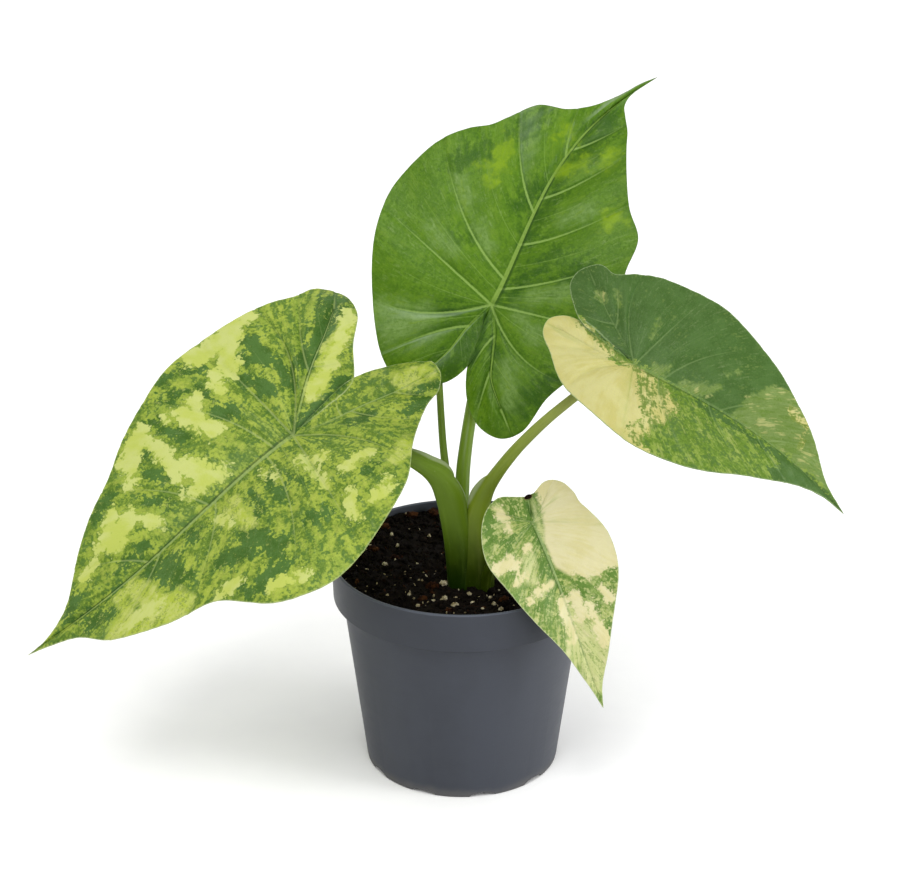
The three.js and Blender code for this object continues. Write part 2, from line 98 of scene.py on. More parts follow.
# Blades in their own plane, in mm: x along the midrib, y to its left, 0, 0 over the petiole.
# "junction" is where that point lies on the plant and "turn" the heading, pitch and roll in
# degrees. "bow" bends the midrib sideways, "fold" is the slope of the halves off the midrib, "sag"
# lets the margins fall, "droop" is the bend to each mm of length and "lobe_drop" lets the lobes
# hang. "wave" and "waves" are height and number of the margin's waves, "tuck" is the side whose
# lobe lies under the other, 1 for the left, and "quilt" the bulge between veins. "margin" runs
# from the sinus round the lobe to the tip. "rib" is the basal rib of a lobe and "lobe" the point
# of the margin that it runs to. "inner" and "outer" veins leave that rib at a share of its length,
# "hub" veins leave the junction and "side" veins leave the midrib at x.
LEAVES = {
    "leaf_1": {
        "slot": "blade_lime",
        "junction": (-75, -20, 171), "turn": (-154, -23, -22), "length": 153, "half_width": 70,
        "bow": 9.6, "fold": 0.28, "sag": 12, "droop": 0.003, "lobe_drop": 8, "wave": 1.6,
        "waves": 5, "sinus": (-4, -1.2), "tuck": -1, "quilt": 1.7, "rib_width": 1.05,
        "vein_width": 0.75,
        "left": {
            "margin": [
                (-20, -5.8), (-37, -10.6), (-55, -11), (-68, -6), (-74, 4), (-69, 13), (-57, 21),
                (-41, 36), (-24, 58), (-4, 70.5), (26, 79.3), (46, 75.7), (54, 71), (60, 64),
                (71.5, 51), (94, 43.8), (115.5, 31.5), (129.5, 13.5), (143, 5),
            ],
            "rib": [(-14, 3.5), (-32, 5), (-50, 6), (-66, 5)], "lobe": (-74, 4),
            "inner": [(0.35, (-28, -8))],
            "outer": [(0.42, (-50, 27)), (0.75, (-65, 16))],
            "hub": [(-30, 50), (8, 75)],
            "side": [(15, (44, 75)), (45, (84, 48)), (78, (116, 30))],
        },
        "right": {
            "margin": [
                (-20, -3.6), (-36, -8.6), (-48, -26.5), (-60, -43), (-61.5, -57), (-52, -66.5),
                (-40, -65), (-27, -66.5), (0, -69), (22, -66), (43, -56.5), (62.5, -47), (78, -34),
                (95.5, -23), (111, -13.5), (125, -3), (134, 0.6), (143, 1.8),
            ],
            "rib": [(-10, -10), (-24, -24), (-40, -38), (-52, -50)], "lobe": (-59, -61),
            "inner": [(0.5, (-44, -21))],
            "outer": [(0.45, (-42, -67))],
            "hub": [(-21, -67.3), (8, -67.5)],
            "side": [(10, (44, -56)), (48, (82, -32)), (84, (113, -12))],
        },
    },
    "leaf_2": {
        "slot": "blade_green",
        "junction": (13, 38, 210), "turn": (33, 47, 39), "length": 132, "half_width": 62,
        "bow": 11.9, "fold": 0.28, "sag": 8, "droop": 0.0015, "lobe_drop": 6, "wave": 1.4,
        "waves": 5, "sinus": (-5, -1), "tuck": 1, "quilt": 1.6, "rib_width": 1.3,
        "vein_width": 0.85,
        "left": {
            "margin": [
                (-16, -5.4), (-28, -7.4), (-40, -3.4), (-49, 7), (-52, 17), (-48.5, 26),
                (-36, 39.5), (-16, 54.5), (2, 63.5), (20, 67.7), (46, 63), (60.5, 54.5), (68, 47.8),
                (75.5, 43.7), (88, 35.8), (94, 24), (102, 16.3), (111, 11), (118, 7.5),
                (124.5, 4.6),
            ],
            "rib": [(-14, 3), (-28, 4), (-40, 7)], "lobe": (-50, 12),
            "outer": [(0.35, (-47, 29))],
            "hub": [(-27, 46), (9, 65)],
            "side": [(13, (50, 62)), (46, (80, 40)), (76, (97, 20))],
        },
        "right": {
            "margin": [
                (-16, -4), (-30, -7.4), (-42.5, -16.5), (-49, -28), (-48, -39), (-40, -45.5),
                (-22, -47), (-4, -52), (20, -53), (45, -43.5), (61, -39), (70.5, -27.5),
                (82.5, -17.5), (94.5, -9), (101.5, -4.6), (107.5, 0.8), (111.5, 4), (116.5, 4.8),
                (124, 3),
            ],
            "rib": [(-10, -9), (-20, -15), (-28, -20), (-37, -32)], "lobe": (-44, -43),
            "inner": [(0.3, (-34, -11)), (0.62, (-48, -25))],
            "hub": [(-11, -50), (18, -53)],
            "side": [(8, (52, -43)), (30, (71, -26)), (53, (90, -11)), (80, (104, -2))],
        },
    },
    "leaf_3": {
        "slot": "blade_dark",
        "junction": (74, -32, 210), "turn": (-24, -22, 23), "length": 111, "half_width": 52,
        "bow": 4.5, "fold": 0.42, "sag": 10, "droop": 0.003, "lobe_drop": 5, "wave": 1.2,
        "waves": 4, "sinus": (-5, 1), "tuck": 1, "quilt": 0.9, "rib_width": 1.1,
        "vein_width": 0.6,
        "left": {
            "margin": [
                (-16, 2.4), (-30, 6), (-39, 14.6), (-45, 23), (-44, 30), (-37, 35), (-29, 33),
                (-20.5, 38.2), (-10, 43), (14, 44.2), (33, 40.6), (52, 35), (68, 25.5), (84, 16),
                (98, 6),
            ],
            "rib": [(-10, 7), (-22, 15), (-34, 25)], "lobe": (-42, 32.5),
            "inner": [(0.5, (-34, 11))],
            "outer": [(0.45, (-29, 33))],
            "hub": [(-18, 40), (10, 45)],
            "side": [(14, (42, 37)), (42, (68, 25)), (66, (85, 15))],
        },
        "right": {
            "margin": [
                (-16, 3.9), (-30, 7.2), (-38.5, 6.2), (-43, 0.5), (-41, -9), (-33, -18),
                (-19, -33), (-3, -41), (17, -45.5), (35.5, -41.5), (52.5, -34.7), (68.8, -21.2),
                (85, -7), (99, -1),
            ],
            "rib": [(-12, -3.5), (-25, -3), (-36, -2)], "lobe": (-43, -2),
            "inner": [(0.5, (-28, 5.2))],
            "outer": [(0.5, (-36, -15))],
            "hub": [(-15, -36), (17, -46)],
            "side": [(12, (44, -39)), (36, (66, -22)), (60, (82, -9))],
        },
    },
    "leaf_4": {
        "slot": "blade_cream",
        "junction": (31, -38, 137), "turn": (-48, -52, 21), "length": 90, "half_width": 32,
        "bow": -0.8, "fold": 0.3, "sag": 5, "droop": 0.005, "lobe_drop": 3, "wave": 0.7,
        "waves": 4, "sinus": (-4, 0.7), "tuck": 1, "quilt": 0.5, "rib_width": 0.8,
        "vein_width": 0.5,
        "left": {
            "margin": [
                (-9, 2.2), (-11.7, 3.2), (-11.7, 5.6), (-14.2, 11), (-14.2, 15), (-10.7, 19.7),
                (-4.6, 22), (0, 22.3), (5, 24.5), (17, 29), (30, 27.8), (46.6, 20.2), (65, 10),
                (80, 2.8),
            ],
            "rib": [(-4, 5), (-9, 11)], "lobe": (-14, 16),
            "hub": [(-3, 23.5), (14, 28.5)],
            "side": [(10, (36, 26)), (30, (53, 17.5)), (50, (70, 7.5))],
        },
        "right": {
            "margin": [
                (-9, 2), (-11.5, 2.4), (-12.4, 0), (-14.3, -4.2), (-16, -10), (-12, -19),
                (-4, -25), (9, -28), (25, -23.7), (42, -17), (60, -9), (77, -3.5),
            ],
            "rib": [(-4, -5), (-8, -11)], "lobe": (-13.5, -17),
            "hub": [(-3, -25.5), (13, -28)],
            "side": [(10, (33, -21.5)), (28, (49, -14)), (48, (66, -7))],
        },
    },
    "leaf_5": {
        "slot": "blade_green",
        "junction": (-16, 76, 226), "turn": (98, -24, -6), "length": 74, "half_width": 26,
        "bow": 2, "fold": 0.3, "sag": 5, "droop": 0.006, "lobe_drop": 3, "wave": 0.7,
        "waves": 4, "sinus": (-3, 0), "tuck": 1, "quilt": 0.5, "rib_width": 0.8,
        "vein_width": 0.5,
        "left": {
            "margin": [
                (-9, 1), (-16, 4), (-19, 10), (-16, 17), (-6, 22), (8, 24), (24, 21), (40, 14),
                (58, 6),
            ],
            "rib": [(-6, 4), (-12, 9)], "lobe": (-18, 13),
            "hub": [(-8, 21), (8, 24)],
            "side": [(9, (28, 20)), (26, (44, 12.5)), (42, (58, 6))],
        },
        "right": {
            "margin": [
                (-9, -1), (-16, -4), (-20, -10), (-17, -17), (-7, -22), (7, -24), (23, -22),
                (40, -14), (58, -6),
            ],
            "rib": [(-6, -4), (-12, -9)], "lobe": (-19, -13),
            "hub": [(-8, -21.5), (8, -24)],
            "side": [(9, (28, -20)), (26, (44, -12)), (42, (58, -6))],
        },
    },
}

# Petioles from the stem up: x, y, z of the middle, half the width seen from the front, half the
# depth. "attach" gives the last stations as back, below, half width, half depth under the blade.
# "tones" run from the soil up. "wing" is the sheath's free edge: the side that it is on in
# degrees, where it begins and ends in height, and how far it stands proud.
PETIOLES = {
    "petiole_1": {
        "leaf": "leaf_1",
        "tones": ("25370A", "627D1E", "82A042"),
        "wing": (14, 146, 160, 2.3),
        "way": [
            (-0.6, -15.6, 99, 6.4, 3.4), (-2, -16, 118, 6.6, 3.6), (-3.9, -16, 130, 6.5, 3.6),
            (-5.8, -16, 139.5, 6.6, 3.4), (-10.5, -16, 148.5, 5.4, 3.2),
            (-17.5, -16, 154, 3.8, 3), (-26, -16, 159, 3.3, 2.9), (-44, -17, 165, 3, 2.8),
        ],
        "attach": [(14, 9.5, 2.7, 2.7), (0, 5.6, 2.4, 2.4)],
    },
    "petiole_2": {
        "leaf": "leaf_2",
        "tones": ("27390B", "658222", "8BA648"),
        "way": [
            (-0.6, -6.4, 99, 3, 3), (-0.8, -5, 118, 3.3, 3.1), (-0.3, 0, 132, 3.3, 3.1),
            (0.3, 5, 143, 3.2, 3), (1.9, 13, 154, 3, 3), (4.1, 23, 164.5, 2.9, 2.9),
            (6.2, 32, 174, 2.8, 2.8),
        ],
        "attach": [(13, 12, 2.5, 2.5), (0, 5.4, 2.2, 2.2)],
    },
    "petiole_3": {
        "leaf": "leaf_3",
        "tones": ("334410", "788D2C", "9DA558"),
        "wing": (188, 132, 148, 2.5),
        "way": [
            (6.4, -15.6, 99, 8, 4), (6.2, -15.6, 108, 7.2, 3.9), (5.4, -15.4, 118, 6.2, 3.7),
            (6.5, -14.8, 129, 5.3, 3.4), (9, -14, 137.5, 4.1, 3.1), (12.2, -15, 145, 3.3, 2.9),
            (19, -18, 157, 2.8, 2.7), (27, -21, 168.5, 2.5, 2.5), (42, -25, 185.5, 2.2, 2.2),
        ],
        "attach": [(9, 14.4, 1.9, 1.9), (0, 5.2, 1.9, 1.9)],
    },
    "petiole_4": {
        "leaf": "leaf_4",
        "tones": ("3A4A14", "6E842A", "8E9C50"),
        "way": [(10.5, -18, 98, 2.6, 2.6), (12.6, -20, 107, 2.3, 2.3), (17.6, -26, 121, 2, 2)],
        "attach": [(4, 10, 1.8, 1.8), (0, 4.9, 1.7, 1.7)],
    },
    "petiole_5": {
        "leaf": "leaf_5",
        "tones": ("1F3208", "66812A", "86A046"),
        "way": [
            (-5.4, -3, 99, 2, 2), (-6.9, 0, 118, 2, 2), (-7.3, 4, 138, 1.9, 1.9),
            (-9, 12, 154, 1.7, 1.7), (-10.4, 25, 173, 1.6, 1.6), (-11.8, 42, 196, 1.5, 1.5),
        ],
        "attach": [(6, 13, 1.5, 1.5), (0, 4.7, 1.4, 1.4)],
    },
}

# Middle of the plant in the pot.
PLANT = (2, -11.5)

# Variegation, drawn in the plane of each blade. A patch is half its width and the points of its
# middle line, or 0 and the points round it. "pale" patches hold no green, "soft" ones a washed-out
# green, "deep" ones the full green and "laced" ones green lace on a pale ground. What lies
# between them is marbled. Some "deep" patches are painted shade in folds, at a sinus and beside
# a midrib, and the "soft" patches of leaf_2 are painted sheen.
PATCHES = {
    "leaf_1": {
        "pale": [
            (6, (-4, -62), (14, -62)), (3.2, (-4, -66), (-17, -65)),
            (3, (-56, -44), (-47, -33), (-34, -22), (-18, -12.6)), (2.6, (90, 34), (108, 31)),
            (4.5, (0, -54), (6, -44)), (3, (12, -48), (14, -38)),
            (4.5, (27, -22), (32, -38)), (2.5, (24, -40), (38, -42)), (5, (42, -8), (46, -15)),
            (3, (33, -3), (52, -4)), (3, (52, -12), (50, -24)), (3.5, (50, -26), (52, -36)),
            (5.5, (54, -42), (66, -35)), (3, (70, -24), (68, -30)), (4.5, (80, -12), (92, -8)),
            (3.5, (84, -18), (96, -10)), (2.5, (104, -8), (112, -6)), (2.5, (70, 0), (75, -8)),
            (2.2, (3, 36), (4, 14)), (2, (17, 18), (20, 10)), (3, (-8, 35), (-20, 33)),
            (2.5, (-4, 22), (0, 20)), (3, (2, 58), (-2, 50)), (3, (-18, 54), (-10, 58)),
            (2.5, (34, 70), (48, 66)), (2.5, (46, 24), (50, 16)), (2.5, (58, 52), (68, 51)),
        ],
        "soft": [
            (4.6, (-50, -36), (-36, -27), (-18, -13)),
            (7, (84, 40), (100, 36), (112, 30)), (5, (92, 30), (95, 16)), (3, (104, 26), (103, 14)),
            (4.5, (-67, 4), (-56, 3)), (3.5, (-38, 36), (-28, 44)), (3.5, (40, 30), (40, 14)),
        ],
        "deep": [
            (6.5, (-54, -53), (-36, -34)), (5, (-44, -44), (-26, -28)),
            (3.5, (-26, -32), (-20, -28)), (3.5, (-12, -22), (-14, -34)),
            (3, (-8, -40), (-2, -47)), (3, (-4, -24), (3, -36)),
            (4, (16, -24), (20, -29)), (6, (36, 50), (42, 38)), (4.5, (40, 60), (49, 62)),
            (4.5, (46, 44), (58, 38)), (2.8, (34, 30), (30, 16)), (2.4, (22, 28), (20, 12)),
            (2.5, (57, 62), (58, 56)), (5.5, (76, 29), (82, 21)), (4, (74, 18), (86, 14)),
            (2.6, (60, 18), (62, 12)), (3.6, (111, 18), (120, 14)), (1.5, (100, 10), (124, 9)),
            (3, (-58, 17), (-47, 21)), (2, (-68, 11), (-56, 12)), (3, (-34, 12), (-23, 11)),
            (2.5, (-20, 43), (-13, 43)), (3, (11, 50), (19, 48)), (2.6, (11, 28), (14, 22)),
            (3, (57, -16), (61, -22)), (2.5, (56, -32), (66, -35)), (2, (62, -5), (69, -15)),
            # The stripe from (-1, -2) to (-35, -12.4) is painted shade in the fold at the sinus.
            (2.3, (-1, -2), (-12, -5), (-23, -8.6), (-35, -12.4)), (3.2, (15, -54), (20, -60)),
            (3, (26, -47), (38, -52)), (2.6, (26, -60), (34, -60)), (4.2, (-9, -38), (-10, -52)),
            (2.4, (42, -44), (48, -46)), (2.4, (20, -36), (22, -42)), (2.4, (40, -28), (44, -38)),
            (2.6, (78, -27), (90, -24)), (2.4, (80, 3), (96, 2)), (2.4, (119, -2), (128, 2)),
        ],
    },
    "leaf_2": {
        "pale": [
            (2.4, (79, 17), (86, 18)), (3.4, (54, 34), (62, 36)), (2.4, (46, 32), (50, 36)),
            (2.6, (60, -22), (64, -26)), (2, (80, -4), (88, -5)), (2.6, (70, 8), (76, 4)),
        ],
        # Painted sheen: the lighter, greyer sectors between the veins.
        "soft": [
            (6, (-34, 30), (-22, 22)), (4, (-30, 40), (-24, 30)), (2.6, (10, 28), (12, 42)),
            (3, (20, 16), (26, 24)), (2.6, (4, -12), (-2, -26)), (4, (-22, -24), (-32, -34)),
            (3, (13, -14), (22, -26)), (2.6, (50, -6), (60, -14)), (2.6, (30, 34), (38, 44)),
        ],
        "deep": [
            # This closed patch is painted shade on the inner flap of the left lobe at the sinus.
            (0, (-5, 1), (-20, 2.2), (-36, 3), (-42, -2), (-28, -9), (-14, -4), (-5, -1)),
            (3.4, (8, -6), (36, -12)), (4.4, (22, -20), (34, -28)), (3, (34, 4), (62, 6)),
            (5, (80, 4), (100, 6)), (5, (44, 48), (56, 44)), (3.4, (70, 36), (84, 30)),
            (5, (-32, -39), (-14, -44)), (4, (46, 15), (56, 14)), (2.6, (14, 30), (20, 24)),
            (3, (-16, 20), (-12, 12)), (2.4, (-14, -12), (-20, -20)),
        ],
    },
    "leaf_3": {
        "pale": [
            (
                0, (-48, 8), (-38, 9), (-30, 6.6), (-20, 3.5), (-12, 2), (-8, -1), (-11, -5),
                (-4, -6.5), (0, -1), (3, -3), (6, -9), (9, -16), (14, -21), (19, -25), (18, -32),
                (15, -37), (17, -42), (32, -43), (20, -52), (-10, -52), (-52, -10),
            ),
            (1.2, (24, -10), (28, -17)),
        ],
        "soft": [
            (
                0, (47, 4), (48, 14), (52, 24), (60, 29), (70, 27), (82, 19), (96, 9), (112, 2),
                (100, 3.5), (80, 5), (60, 4),
            ),
            (0, (6, 0.6), (6.3, 4.4), (13, 7.9), (15.2, 3.6), (11, 1.6)),
            (0, (20, 1.4), (21, 4), (30, 10), (37, 12), (34, 6), (30, 2.4)),
            (1.3, (-31, 22), (-27, 19)), (1.2, (-24, 26), (-20, 21)), (1, (-2, 22), (0, 14)),
            (0.8, (36, 18), (40, 24)),
        ],
        "laced": [
            (0, (0, -1), (9, -1), (20, -5), (27, -12), (26, -21), (24, -30), (22, -43), (15, -41),
             (16.5, -34), (17, -27), (12, -20), (8, -12), (3, -4)),
            (1.4, (-30, 6), (-22, 2.9), (-14.5, 0), (-7, -2.2), (-2, -2.2)),
            (1.8, (67, 21), (76, 20)), (1.2, (77, 17), (79, 12)),
        ],
        "deep": [
            (
                0, (-52, 22), (-30, 7), (-10, 1), (0, 1), (20, 1.5), (40, 2), (56, 4), (58, 18),
                (68, 26), (80, 26), (40, 52), (-20, 52), (-52, 42),
            ),
            (0, (66, 3), (76, -3), (73, -9), (78, -16), (92, -8), (114, 0), (90, 4)),
            (1.8, (34, -1), (68, 0)),
        ],
    },
    "leaf_4": {
        "pale": [
            (
                0, (-20, 8), (-14, 26), (0, 28), (20, 34), (33, 30), (31, 20), (33, 13), (30, 9),
                (26, 4), (22, 1), (10, 1), (4, 3.5), (-6, 6),
            ),
            (2.4, (-11, -13), (-2, -12)), (2.8, (13, -17), (12, -25)), (1.5, (9.5, -7), (9.5, -9)),
            (1.8, (20, -15), (22, -19)), (1.8, (28, -4), (30, -17)), (2, (39, 17), (44, 19)),
            (2.6, (44, 9), (60, 9)), (2.4, (37, -2), (54, -3)), (2.6, (38, 4), (46, 3)),
        ],
        "soft": [
            (6.5, (56, 4), (76, 2)), (4.5, (44, 2), (62, -5)), (3, (14, -9), (22, -12)),
            (0.7, (-9, 3.2), (-2, 2.4), (9, 0.8)), (1.2, (-12, 11.4), (-6, 11.8)),
        ],
        "deep": [
            # The thin patches along the midrib, near y = 0, are painted shade in its fold.
            (1.1, (-8, -0.6), (4, -1.6), (18, -1.8), (30, -1.6)),
            (2.4, (17, -3), (22, -5)), (2.3, (34, -10), (36, -15)), (2.1, (32, 8), (38, 8)),
            (2, (40, 20), (43, 21)), (1.8, (42, 12), (48, 12)), (1.6, (52, 15), (60, 12)),
            (1.8, (2, -12), (6, -16)), (1.5, (-6, -1), (12, -1.5)), (2.4, (-12, -17), (-4, -21)),
            (1.8, (0, -22), (4, -16)), (1.8, (-11, -5), (-7, -8)), (1.8, (34, 24), (36, 20)),
            (0.8, (-14, 12), (-6, 11)), (0.5, (-9, 4.4), (-3, 3.4), (8, 1.8)),
            (1.2, (12, 0), (40, -0.4)), (1.2, (-9, 0.6), (4, -0.8), (14, -1)),
        ],
    },
    "leaf_5": {
        "pale": [(4, (20, 6), (34, 4)), (3, (-8, -10), (2, -14))],
        "soft": [(4, (36, -4), (54, 0))],
        "deep": [(5, (-8, 8), (6, 14)), (4, (8, -10), (24, -12))],
    },
}
# Depths in a patch are told no further than this, in mm.
PATCH_REACH = 9

# Display colours of the blades, each pair for two shades that run into one another, and how they
# are laid on. "light" is how much of the stage's light the blade catches and "painted_sheen" the
# strength of the sheen painted where the relief faces the light. "marbling" moves the marbling
# toward green, and "contrast", "edge", "grit" and "brush" set its strength, the softness of its
# edges, its speckle and its strokes. "ragged" and "feather" set how far the edges of patches wander
# and how soft they are. "ribs" and "veins" are the strength of their paint, and "flecks" that of
# the flecks in the colour "spark". "shade" is the colour of the painted shade in the crease beside
# a rib. "scar" is a scar's x, y, half height and half width. "calm" keeps the edges of pale patches
# from wandering near the midrib, up to the distance whose square it is.
TONES = {
    "leaf_1": {
        "pale": ("C6D264", "D0D980"), "soft": ("B4C548", "C6D070"), "ground": ("A9BC48", "97AE42"),
        "green": ("6C8B36", "5A7A28"), "deep": ("567A38", "476A26"), "vein": "A9BA72",
        "rib": "A3B970", "rim": "BCC98E", "shade": "34501E",
        "light": 1.05, "ribs": 0.65, "painted_sheen": 0.3, "marbling": -0.01, "contrast": 0.85,
        "ragged": 1.1, "feather": 0.8, "veins": 0.5, "edge": 0.05, "grit": 0.9, "brush": 0.9,
        "flecks": 0.5, "spark": "C4CE5E",
    },
    "leaf_2": {
        "pale": ("7E9E1E", "72931C"), "soft": ("7A9A50", "6B8C40"), "ground": ("5F8520", "567C18"),
        "green": ("557B1E", "4B7214"), "deep": ("44690E", "3A600A"), "vein": "94B45C",
        "rib": "8CAC4A", "rim": "5C7C30", "shade": "2E4E0C",
        "light": 1.01, "ribs": 0.75, "painted_sheen": 0.9, "marbling": 0.0, "contrast": 0.55,
        "ragged": 1.8, "feather": 4.0, "veins": 0.75, "edge": 0.2, "grit": 0.4, "brush": 1.4,
        "flecks": 0.35, "spark": "7C9C34",
    },
    "leaf_3": {
        "pale": ("D2CD8A", "C9C277"), "soft": ("728B46", "7B934F"), "ground": ("8FA549", "7E983C"),
        "green": ("6A8A32", "5C7C26"), "deep": ("527238", "48682E"), "vein": "86A062",
        "rib": "7C985A", "rim": "A3B883", "shade": "2A4516",
        "light": 1.09, "ribs": 0.4, "painted_sheen": 0.3, "marbling": 0.07, "contrast": 0.85,
        "ragged": 0.7, "feather": 0.6, "veins": 0.35, "edge": 0.1, "grit": 0.5, "brush": 1.5,
        "flecks": 0.45, "spark": "BCC474",
    },
    "leaf_4": {
        "pale": ("E2DBAC", "DCD49C"), "soft": ("C3CA86", "CDCF92"), "ground": ("BEC582", "ACB668"),
        "green": ("7C9A4A", "6B8B3D"), "deep": ("698A3E", "5C7F34"), "vein": "BFC894",
        "rib": "9FB476", "rim": "CDD6A6", "shade": "3E5E24",
        "light": 1.07, "ribs": 0.65, "painted_sheen": 0.2, "marbling": 0.05, "contrast": 0.9,
        "ragged": 0.8, "feather": 1.0, "veins": 0.16, "edge": 0.14, "grit": 0.8, "brush": 0.8,
        "flecks": 0.5, "spark": "DCD9A4", "scar": (-11.2, 2.7, 1.0, 1.8), "calm": 60,
    },
    "leaf_5": {
        "pale": ("C4CF70", "B7C660"), "soft": ("9DB25C", "8FA650"), "ground": ("8CA640", "7F9C36"),
        "green": ("648634", "587A2A"), "deep": ("4F722C", "446A22"), "vein": "A3B66C",
        "rib": "9DB362", "rim": "AFC086", "shade": "34501E",
        "light": 1.0, "ribs": 0.5, "painted_sheen": 0.3, "marbling": 0.02, "contrast": 0.8,
        "ragged": 1.2, "feather": 0.8, "veins": 0.4, "edge": 0.08, "grit": 0.9, "brush": 0.9,
        "flecks": 0.4, "spark": "B4C45E",
    },
}
ZONES = ("pale", "soft", "deep", "laced")

# Larger grains, given one by one: x, y, half length and half height in mm.
LUMPS = {
    "perlite_lumps": [
        (-8.6, -15.2, 1.9, 1.6), (-7.9, -31, 1.3, 1.1), (-3.5, -36, 1.6, 1.2), (4.6, -34, 1.3, 1),
        (17, -42.5, 1.2, 1), (14, -37, 1.2, 1), (12.3, -30.3, 0.9, 0.8), (-26.3, 48.6, 1.2, 1),
        (-30, 19.7, 1.2, 0.9), (-35.5, 0.6, 1.3, 1), (-15.5, 30.8, 1, 0.9), (-44, -3, 1, 0.8),
        (-33, 30, 1, 0.8), (27, -36, 1.1, 0.9), (30, 8, 1.3, 1), (40, -12, 1.2, 1),
        (22, 36, 1.4, 1.1), (-20, -40, 0.9, 0.8), (3, -26.5, 1.2, 0.9), (-24, -28, 1, 0.8),
    ],
    "bark_lumps": [
        (-24, 47.6, 3, 1.6), (-13.6, 51, 3.2, 1.7), (-13.5, -17.5, 2.8, 2), (-36, 36, 2.6, 1.5),
        (18.5, -33, 2.4, 1.6), (-31, 10, 2.4, 1.4), (-18, -31, 2.2, 1.2), (-41, 14, 2.6, 1.5),
        (34, 26, 3, 1.6), (36, -24, 2.4, 1.4), (6, 44, 2.6, 1.5), (-6, -44, 2, 1.1),
    ],
}


class PotSizes(bpy.types.PropertyGroup):
    """Sizes and colour of the nursery pot."""

    height: bpy.props.FloatProperty(
        name="Height", description="Height of the rim over the floor", default=0.102,
        unit="LENGTH",
    )
    rim_radius: bpy.props.FloatProperty(
        name="Rim radius", description="Outside radius at the lip", default=0.060, unit="LENGTH"
    )
    band_height: bpy.props.FloatProperty(
        name="Rim band", description="Height of the straight band under the lip", default=0.019,
        unit="LENGTH",
    )
    shoulder_radius: bpy.props.FloatProperty(
        name="Shoulder radius", description="Outside radius just under the rim band",
        default=0.0551, unit="LENGTH",
    )
    foot_radius: bpy.props.FloatProperty(
        name="Foot radius", description="Outside radius at the floor", default=0.0444,
        unit="LENGTH",
    )
    wall: bpy.props.FloatProperty(
        name="Wall", description="Thickness of the moulded wall", default=0.0015, unit="LENGTH"
    )
    colour: bpy.props.FloatVectorProperty(
        name="Colour", description="Colour of the plastic", subtype="COLOR", size=3, min=0,
        max=1, default=(0.032, 0.036, 0.046),
    )


class MixSizes(bpy.types.PropertyGroup):
    """Sizes and colours of the potting mix."""

    level: bpy.props.FloatProperty(
        name="Level", description="Height of the potting mix over the floor", default=0.096,
        unit="LENGTH",
    )
    crumbs: bpy.props.FloatProperty(
        name="Crumbs", description="Peat crumbs to a square metre", default=190000.0
    )
    clods: bpy.props.FloatProperty(
        name="Clods", description="Larger clods of peat to a square metre", default=16000.0
    )
    grit: bpy.props.FloatProperty(
        name="Perlite", description="Perlite grains to a square metre", default=5500.0
    )
    dust: bpy.props.FloatProperty(
        name="Perlite dust", description="Fine perlite to a square metre of the front half",
        default=22000.0,
    )
    chips: bpy.props.FloatProperty(
        name="Bark", description="Bark chips to a square metre", default=5500.0
    )
    peat: bpy.props.FloatVectorProperty(
        name="Peat", description="Colour of the peat", subtype="COLOR", size=3, min=0, max=1,
        default=(0.0036, 0.0026, 0.0018),
    )


class PlantLooks(bpy.types.PropertyGroup):
    """Finish of the blades and petioles."""

    blade_edge: bpy.props.FloatProperty(
        name="Margin thickness", description="Thickness of a blade at its margin",
        default=0.0004, unit="LENGTH",
    )
    blade_middle: bpy.props.FloatProperty(
        name="Blade thickness", description="Thickness of a blade near its midrib",
        default=0.0006, unit="LENGTH",
    )
    gloss: bpy.props.FloatProperty(
        name="Roughness", description="Roughness of the upper face", default=0.42, min=0,
        max=1, subtype="FACTOR",
    )


class Value:
    """An output socket that takes part in Python expressions and adds Math nodes."""

    def __init__(self, shader, socket):
        self.shader = shader
        self.socket = socket

    def _math(self, operation, *terms):
        sockets = dict(enumerate(terms))
        return self.shader.node("ShaderNodeMath", {"operation": operation}, sockets)

    def __add__(self, other):
        return self._math("ADD", self, other)

    __radd__ = __add__

    def __sub__(self, other):
        return self._math("SUBTRACT", self, other)

    def __rsub__(self, other):
        return self._math("SUBTRACT", other, self)

    def __mul__(self, other):
        return self._math("MULTIPLY", self, other)

    __rmul__ = __mul__

    def clamp(self):
        return self.shader.node("ShaderNodeClamp", {}, {"Value": self, "Min": 0.0, "Max": 1.0})

    def ramp(self, low, high):
        """0 below low, 1 above high, smooth between. A high under low turns it round."""
        settings = {"interpolation_type": "SMOOTHSTEP"}
        if low <= high:
            sockets = {"Value": self, "From Min": low, "From Max": high}
            return self.shader.node("ShaderNodeMapRange", settings, sockets)
        sockets = {
            "Value": self, "From Min": high, "From Max": low, "To Min": 1.0, "To Max": 0.0,
        }
        return self.shader.node("ShaderNodeMapRange", settings, sockets)


def find_socket(sockets, key):
    """The socket at a place, or with this identifier, or in use under this name."""
    if isinstance(key, int):
        return sockets[key]
    for socket in sockets:
        if socket.identifier == key or (socket.name == key and socket.enabled):
            return socket
    raise KeyError(f"no socket {key}")


def add_node(tree, kind, settings, sockets, output):
    """Adds a node: its settings, then values or links of its sockets. Gives back an output."""
    node = tree.nodes.new(kind)
    for key, value in (settings or {}).items():
        setattr(node, key, value)
    for key, value in (sockets or {}).items():
        target = find_socket(node.inputs, key)
        source = value.socket if isinstance(value, Value) else value
        if isinstance(source, bpy.types.NodeSocket):
            tree.links.new(source, target)
        else:
            target.default_value = source
    return find_socket(node.outputs, output)


